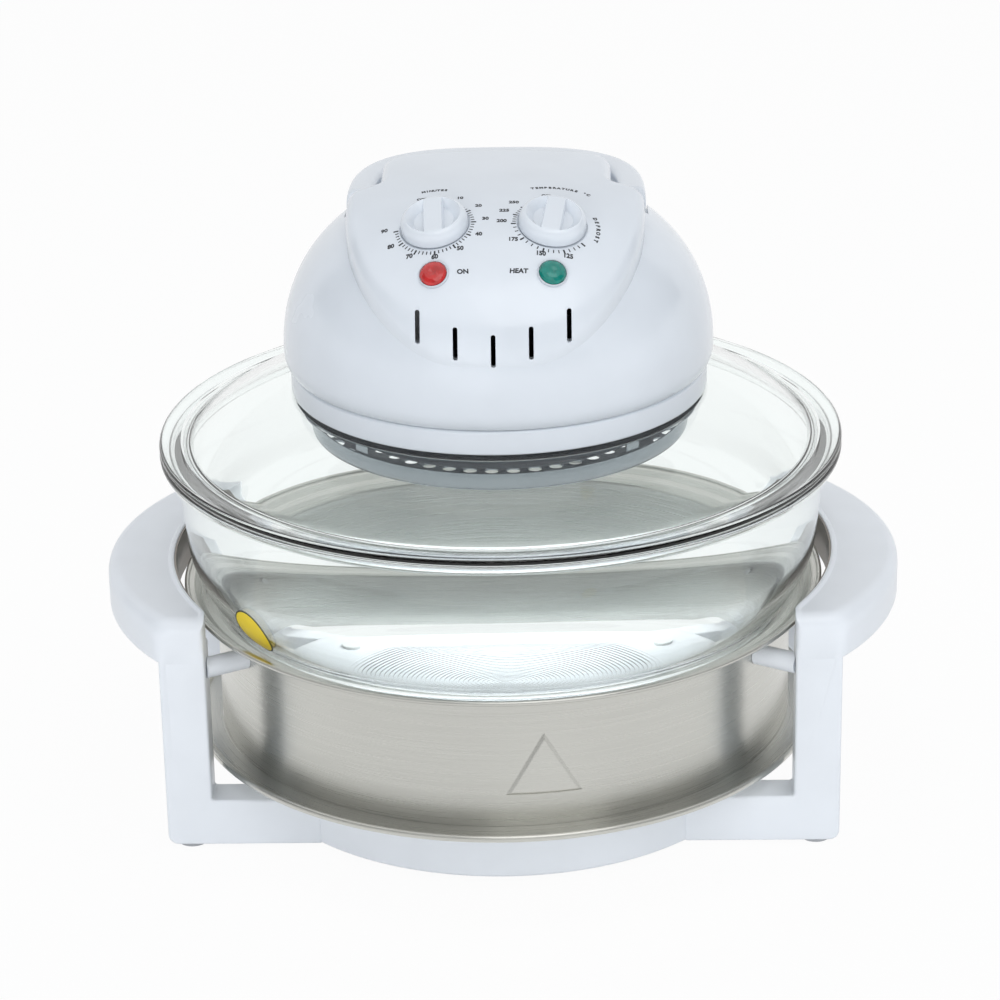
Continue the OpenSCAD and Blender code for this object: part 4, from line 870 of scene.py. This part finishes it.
def liftBail():
    # A rounded section carried along a full curve in plan; its top and bottom go from the pivot's height to
    # the grip's, and before the pivot they follow a circle about it
    b, pivotY, pivotZ, w = bail, head["pivotY"], head["pivotZ"], bail["wide"] / 2
    mid = fullCurve(b["half"] - w, b["reach"] - w, b["power"], 160, 180)
    mid = mid[mid[:, 1] > pivotY + 0.5]
    near = pivotY - b["halfHigh"]
    front = near + (mid[0, 1] - near) * (1 - np.cos(np.linspace(0, 1, 14)[:-1] * math.pi / 2))
    ends = [np.column_stack([np.full(len(front), x), front]) for x in (mid[0, 0], mid[-1, 0])]
    path = np.vstack([ends[0], mid, ends[1][::-1]])
    y, heights = path[:, 1:], []
    share = np.clip((y - pivotY) / (b["reach"] + 1 - pivotY), 0, 1)
    circle = np.sqrt(np.clip(b["halfHigh"] ** 2 - (y - pivotY) ** 2, 0, None))
    for up, grip in ((1, b["gripTop"]), (-1, b["gripLow"])):
        start = pivotZ + up * b["halfHigh"]
        heights.append(np.where(y < pivotY, pivotZ + up * circle, start + (grip - start) * share))
    ahead = np.gradient(path, axis=0)
    ahead /= np.linalg.norm(ahead, axis=1)[:, None]
    across = np.column_stack([ahead[:, 1], -ahead[:, 0]])
    unit = fullCurve(1.0, 1.0, b["section"], 40, 360)[:-1]
    side = path[:, None] + across[:, None] * (unit[:, :1] * w)
    z = levels["domeZ"] + (heights[0] + heights[1]) / 2 + unit[:, 1] * (heights[0] - heights[1]) / 2
    points = np.concatenate([side, z[..., None]], -1)
    return addMesh("liftBail", points, gridFaces(len(path), len(unit), False, True), 60)


finishPiece(liftBail(), "lift_handle", "head_plastic", "lift_handle")


lamps = {
    "radius": 6.3, "bezel": 0.8, "facets": 12,
    "rings": ((1.0, -0.5, 0), (1.0, 1.0, 0), (0.86, 1.9, 0.5), (0.6, 2.6, 0), (0.32, 2.9, 0.5),
              (0.0, 2.3, 0)),
}


def lampLens(name, x):
    # A low dome cut into flat facets, from rings of (share of the radius, height, turn in facets)
    n, points = lamps["facets"], []
    for share, z, half in lamps["rings"]:
        a, r = (np.arange(n) + half) * 2 * np.pi / n, lamps["radius"] * share
        points.append(np.column_stack([r * np.cos(a), r * np.sin(a), np.full(n, z)]))
    faces = gridFaces(len(points), n, False, True)
    return addMesh(name, onFace(points, x, panel["lampY"]), faces, 4, outward=False)


def lampRings():
    # A soft ring round each lens
    inner, outer = lamps["radius"] + 0.1, lamps["radius"] + lamps["bezel"]
    profile = rounded([(inner, 0), (outer, 0), (outer, 0.9), (inner, 1.1)], (0, 0, 0.45, 0.3), True, 4)
    points, faces = revolved(profile, 64)
    both = [(onFace(points.reshape(-1, 3), side * panel["knobX"], panel["lampY"]), faces) for side in (-1, 1)]
    return addMesh("lampRings", *joined(both))


finishPiece(lampLens("redLens", -panel["knobX"]), "lid", "red_lens", "power_lamp")
finishPiece(lampLens("greenLens", panel["knobX"]), "lid", "green_lens", "heat_lamp")
finishPiece(lampRings(), "lid", "bezel_plastic", "lamp_bezels")


guard = {"radius": 90.3, "high": 8.0, "sheet": 0.8}


def guardRing():
    # Revolved: an upright rim with a rolled upper edge and a rounded foot that turns inwards
    g, z = guard, levels["guardZ"] - guard["sheet"]
    r, t, top = g["radius"], g["sheet"], z + g["high"]
    profile = rounded([(r - 3, z), (r, z), (r, top), (r - t, top), (r - t - 0.1, z + t),
                       (r - 3, z + t - 0.05)], (0.2, 1.4, 0.35, 0.35, 0.5, 0.2), True, 5)
    return addMesh("guardRing", *revolved(profile, 224))


finishPiece(guardRing(), "lid", "guard_steel", "guard_rim")
print("handle, lamps and guard ready")


dials = {
    "timer": {
        "x": -27.0, "off": 0, "title": ("MINUTES", 31.5, -11.5, 11.0), "words": (),
        "labels": [(30 * i, str(10 * i)) for i in range(1, 10)],
        "long": [30 * i for i in range(10)],
        "short": [6 * i for i in range(1, 45) if i % 5],
    },
    "temperature": {
        "x": 27.0, "off": 7, "title": ("TEMPERATURE °C", 33.0, -19.5, 31.0),
        "words": (("DEFROST", 21.2, 64.0, 112.0),),
        "labels": [(161, "125"), (192, "150"), (229, "175"), (265, "200"), (287, "225"), (309, "250")],
        "long": [7, 127, 161, 192, 229, 265, 287, 309],
        "short": [135.5, 144, 152.5, 169, 177, 184.5, 201, 210.5, 220, 238, 247, 256, 270.5, 276, 281.5,
                  292.5, 298, 303.5],
    },
    "tickIn": 16.9, "tickLong": 19.2, "tickShort": 18.5, "tickWide": 0.75, "tickFine": 0.45, "labelAt": 22.4,
    "labelWide": 1.05, "labelUp": 2.4, "size": 3.1, "small": 2.5, "bold": 0.12, "offAt": 24.5, "offTurn": 15,
    "thick": 0.06, "lift": 0.6, "lampWords": (("ON", 13.6, -1), ("HEAT", -15.5, 1)), "lampSize": 1.1,
}


def wordPoints(text, size, x=0.0, y=0.0):
    # The letters as a mesh: points in millimetres about the place (x, y), and faces
    curve = bpy.data.curves.new("word", "FONT")
    curve.body, curve.size, curve.extrude = text, size * mm, dials["thick"] * mm
    curve.align_x, curve.align_y, curve.resolution_u = "CENTER", "CENTER", 3
    curve.offset = dials["bold"] * mm
    temporary = newObject("word", curve)
    graph = bpy.context.evaluated_depsgraph_get()
    mesh = bpy.data.meshes.new_from_object(temporary.evaluated_get(graph))
    spots = np.zeros(len(mesh.vertices) * 3)
    mesh.vertices.foreach_get("co", spots)
    faces = [tuple(f.vertices) for f in mesh.polygons]
    bpy.data.objects.remove(temporary)
    bpy.data.meshes.remove(mesh)
    return spots.reshape(-1, 3) / mm + [x, y, 0], faces


def barPoints(angle, first, last, wide):
    # One tick of a scale: a thin bar from the radius first to the radius last, clockwise from up the slope
    a = math.radians(90 - angle)
    along, across = np.array([math.cos(a), math.sin(a)]), np.array([-math.sin(a), math.cos(a)]) * wide / 2
    corners = [first * along - across, last * along - across, last * along + across, first * along + across]
    t = dials["thick"]
    points = np.array([[*c, z] for z in (-t, t) for c in corners])
    return points, [(3, 2, 1, 0), (4, 5, 6, 7), (0, 1, 5, 4), (1, 2, 6, 5), (2, 3, 7, 6), (3, 0, 4, 7)]


def arcWord(text, radius, first, last):
    # Small letters side by side on an arc, each turned by its own angle, clockwise from up the slope
    items, step = [], (last - first) / len(text)
    for i, letter in enumerate(text):
        if letter != " ":
            points, faces = wordPoints(letter, dials["small"])
            a = math.radians(first + (i + 0.5) * step)
            points[:, :2] = points[:, :2] @ spin(a) + [radius * math.sin(a), radius * math.cos(a)]
            items.append((points, faces))
    return items


def layOnFace(items, x, y):
    # Every flat point goes to the face along its tangent directions, and then to the face's own height
    origin, directions = faceFrame(x, y)
    points, faces = joined(items)
    flat = origin + points[:, :1] * directions[:, 0] + points[:, 1:2] * directions[:, 1]
    flat[:, 2] = faceHeight(flat[:, 0], flat[:, 1])
    return flat + (points[:, 2:] + dials["thick"] * dials["lift"]) * directions[:, 2], faces


def dialMarks(name):
    # The scale of one knob: ticks, numbers and OFF, with the words of its title on an arc above
    d, own = dials, dials[name]
    items = [barPoints(a, d["tickIn"], d["tickLong"], d["tickWide"]) for a in own["long"]]
    items += [barPoints(a, d["tickIn"], d["tickShort"], d["tickFine"]) for a in own["short"]]
    for angle, text in own["labels"]:
        a, reach = math.radians(90 - angle), d["labelAt"]
        place = reach * math.cos(a) * d["labelWide"], reach * math.sin(a) + d["labelUp"]
        items.append(wordPoints(text, d["size"], *place))
    a = math.radians(own["off"] - d["offTurn"])
    items.append(wordPoints("OFF", d["small"], d["offAt"] * math.sin(a), d["offAt"] * math.cos(a)))
    for word in (own["title"], *own["words"]):
        items += arcWord(*word)
    return addMesh(name + "Marks", *layOnFace(items, own["x"], panel["knobY"]), angle=30, outward=False)


def lampWords():
    # ON beside the red lamp and HEAT beside the green one
    size = dials["size"] * dials["lampSize"]
    items = [layOnFace([wordPoints(text, size, x)], side * panel["knobX"], panel["lampY"])
             for text, x, side in dials["lampWords"]]
    return addMesh("lampWords", *joined(items), angle=30, outward=False)


for made in (dialMarks("timer"), dialMarks("temperature"), lampWords()):
    finishPiece(made, "lid", "dark_plastic")
    made.data.materials[0] = printInk
print("marks ready")


sticker = {"radius": 12.5, "edge": 0.7, "thick": 0.25, "azimuth": -140.5, "z": 116.0, "gap": 0.05}


def stickerPatch(name, reach, rise, closed):
    # Rings about the sticker's middle, each with its reach, and its rise as a share of the thickness:
    # sideways they run round the bowl, upwards along its wall's profile
    s, wall = sticker, bowlWall(-sticker["gap"])
    along, a = runLength(wall), np.radians(np.arange(0, 360, 5))
    u, v = np.outer(reach, np.cos(a)), np.outer(reach, np.sin(a)) + np.interp(s["z"], wall[:, 1], along)
    r = np.interp(v, along, wall[:, 0]) + s["thick"] * np.array(rise)[:, None]
    turn = math.radians(s["azimuth"]) + u / r
    points = np.stack([r * np.cos(turn), r * np.sin(turn), np.interp(v, along, wall[:, 1])], -1)
    return addMesh(name, points, gridFaces(len(reach), len(a), closed, True))


def stickerPieces():
    # A round yellow film, which goes out on its face and back in on its underside, and a dark edge round it
    inner, outer = sticker["radius"] - sticker["edge"], sticker["radius"]
    spread = np.concatenate([np.linspace(0, inner, 12), [inner], np.linspace(inner, 0, 12)])
    yield stickerPatch("stickerDisc", spread, [1] * 12 + [0] * 13, False), yellowFilm
    yield stickerPatch("stickerEdge", [inner, inner, outer, outer], [0, 1, 1, 0], True), printInk


yellowFilm = mouldedFinish("yellowFilm", (0.93, 0.70, 0.02), 0.4, share=0.3, bump=0.05)
for made, film in stickerPieces():
    finishPiece(made, "bowl", "cream_plastic")
    made.data.materials[0] = film
print("sticker ready")


camera = {
    "focal": 127.2, "sensor": 36.0, "distance": 1.729, "elevation": 22.45, "targetZ": 0.1428, "azimuth": 1.45,
    "roll": 1.10, "shift": -0.0016, "near": 0.05, "far": 30.0,
}


def addCamera():
    # Looks at the axis from the front and above, turned a little about its own line of sight
    c = camera
    up = math.radians(c["elevation"])
    lens = bpy.data.cameras.new("camera")
    lens.lens, lens.sensor_width, lens.shift_x = c["focal"], c["sensor"], c["shift"]
    lens.clip_start, lens.clip_end = c["near"], c["far"]
    made = newObject("camera", lens)
    aside = Matrix.Rotation(math.radians(c["azimuth"]), 4, "Z")
    place = aside @ Vector((0, -c["distance"] * math.cos(up), c["targetZ"] + c["distance"] * math.sin(up)))
    tilt = Matrix.Rotation(math.radians(90) - up, 4, "X") @ Matrix.Rotation(math.radians(-c["roll"]), 4, "Z")
    made.matrix_world = Matrix.Translation(place) @ aside @ tilt
    scene.camera = made


studio = {
    "ambient": 0.5, "ambientTint": (0.93, 0.96, 1.0), "white": 1.0, "floor": 0.86, "floorGlow": 0.95,
    "floorReach": 9.0, "flagNear": 2.6, "flagLow": 12.0, "flagHigh": 38.0, "flagTurn": 125.0,
    "flagShade": 0.2,
    "lights": (  # name, place, target, size, power, colour, and whether reflections see it
        ("keyPanel", (0.45, -1.3, 1.9), (0, 0, 0.12), 1.5, 8, (1.0, 0.995, 0.985), True),
        ("lowPanel", (-0.7, -2.1, 0.2), (0, 0, 0.1), 1.4, 24, (0.97, 0.985, 1.0), False),
        ("sidePanel", (1.9, -0.8, 0.6), (0, 0, 0.15), 1.2, 7, (0.97, 0.985, 1.0), False),
        ("topPanel", (0, 0.6, 2.2), (0, 0, 0.15), 1.4, 8, (1, 1, 1), False),
        ("bowlPanel", (0, 0.1, 0.15), (0, 0.125, 0), 0.12, 0.5, (1, 1, 1), False),
    ),
}


def emptyTree(owner):
    # The node tree of a material or a world, without its nodes
    owner.use_nodes = True
    owner.node_tree.nodes.clear()
    return owner.node_tree


def addStudio():
    # A white room: the world is plain white to the eye and in reflections, and softer as light
    s, reach = studio, studio["floorReach"] / mm
    scene.world = bpy.data.worlds.new("studio")
    tree = emptyTree(scene.world)
    seen = seenByEye(tree)
    soft = addNode(tree, "Background", {"Color": (*s["ambientTint"], 1), "Strength": s["ambient"]})
    white = addNode(tree, "Background", {"Color": (1, 1, 1, 1), "Strength": s["white"]})
    mix = addNode(tree, "MixShader", {0: seen, 1: soft.outputs[0], 2: white.outputs[0]})
    addNode(tree, "OutputWorld", {0: mix.outputs[0]})
    corners = [(x, y, 0) for x, y in oblong(-reach, -reach, reach, reach)]
    floor = addMesh("floor", corners, [(0, 1, 2, 3)])
    floor.data.materials.append(floorFinish())
    darkFlag()
    for name, place, target, size, power, colour, mirrored in s["lights"]:
        light = bpy.data.lights.new(name, "AREA")
        light.shape, light.size, light.energy, light.color = "SQUARE", size, power, colour
        made = newObject(name, light)
        made.visible_camera, made.visible_glossy, made.visible_transmission = False, mirrored, False
        aim = (Vector(target) - Vector(place)).to_track_quat("-Z", "Y").to_matrix().to_4x4()
        made.matrix_world = Matrix.Translation(place) @ aim


def darkFlag():
    # A dark piece of a sphere on the camera's side that only reflections see, as the dark end of a studio
    d = studio
    turn, up = np.meshgrid(np.radians(np.linspace(-90 - d["flagTurn"], -90 + d["flagTurn"], 41)),
                           np.radians(np.linspace(d["flagLow"], d["flagHigh"], 13)), indexing="ij")
    spots = np.stack([np.cos(up) * np.cos(turn), np.cos(up) * np.sin(turn), np.sin(up)], -1)
    flag = addMesh("darkFlag", d["flagNear"] / mm * spots, gridFaces(*turn.shape), outward=False)
    cloth = newFinish("flagCloth", Base_Color=shade((d["flagShade"],) * 3, 1), Roughness=1.0)[0]
    flag.data.materials.append(cloth)
    flag.visible_camera = flag.visible_diffuse = flag.visible_shadow = flag.visible_transmission = False


def seenByEye(tree):
    # 1 for camera, glossy and transmission rays
    rays = addNode(tree, "LightPath").outputs
    seen = rays["Is Camera Ray"]
    for kind in ("Is Glossy Ray", "Is Transmission Ray"):
        seen = addNode(tree, "Math", {0: seen, 1: rays[kind]}, operation="MAXIMUM").outputs[0]
    return seen


def floorFinish():
    # Pale and matt; to the eye it glows a little, so that only the object's soft shadow shows
    made = bpy.data.materials.new("floorPaper")
    tree = emptyTree(made)
    paper = addNode(tree, "BsdfDiffuse", {"Color": shade((studio["floor"],) * 3, 1)})
    glow = addNode(tree, "Emission", {"Color": (1, 1, 1, 1), "Strength": 1.0})
    share = addNode(tree, "Math", {0: seenByEye(tree), 1: studio["floorGlow"]}, operation="MULTIPLY")
    mix = addNode(tree, "MixShader", {0: share.outputs[0], 1: paper.outputs[0], 2: glow.outputs[0]})
    addNode(tree, "OutputMaterial", {0: mix.outputs[0]})
    return made


addCamera()
addStudio()
scene.view_settings.view_transform = "Standard"
print("studio ready")
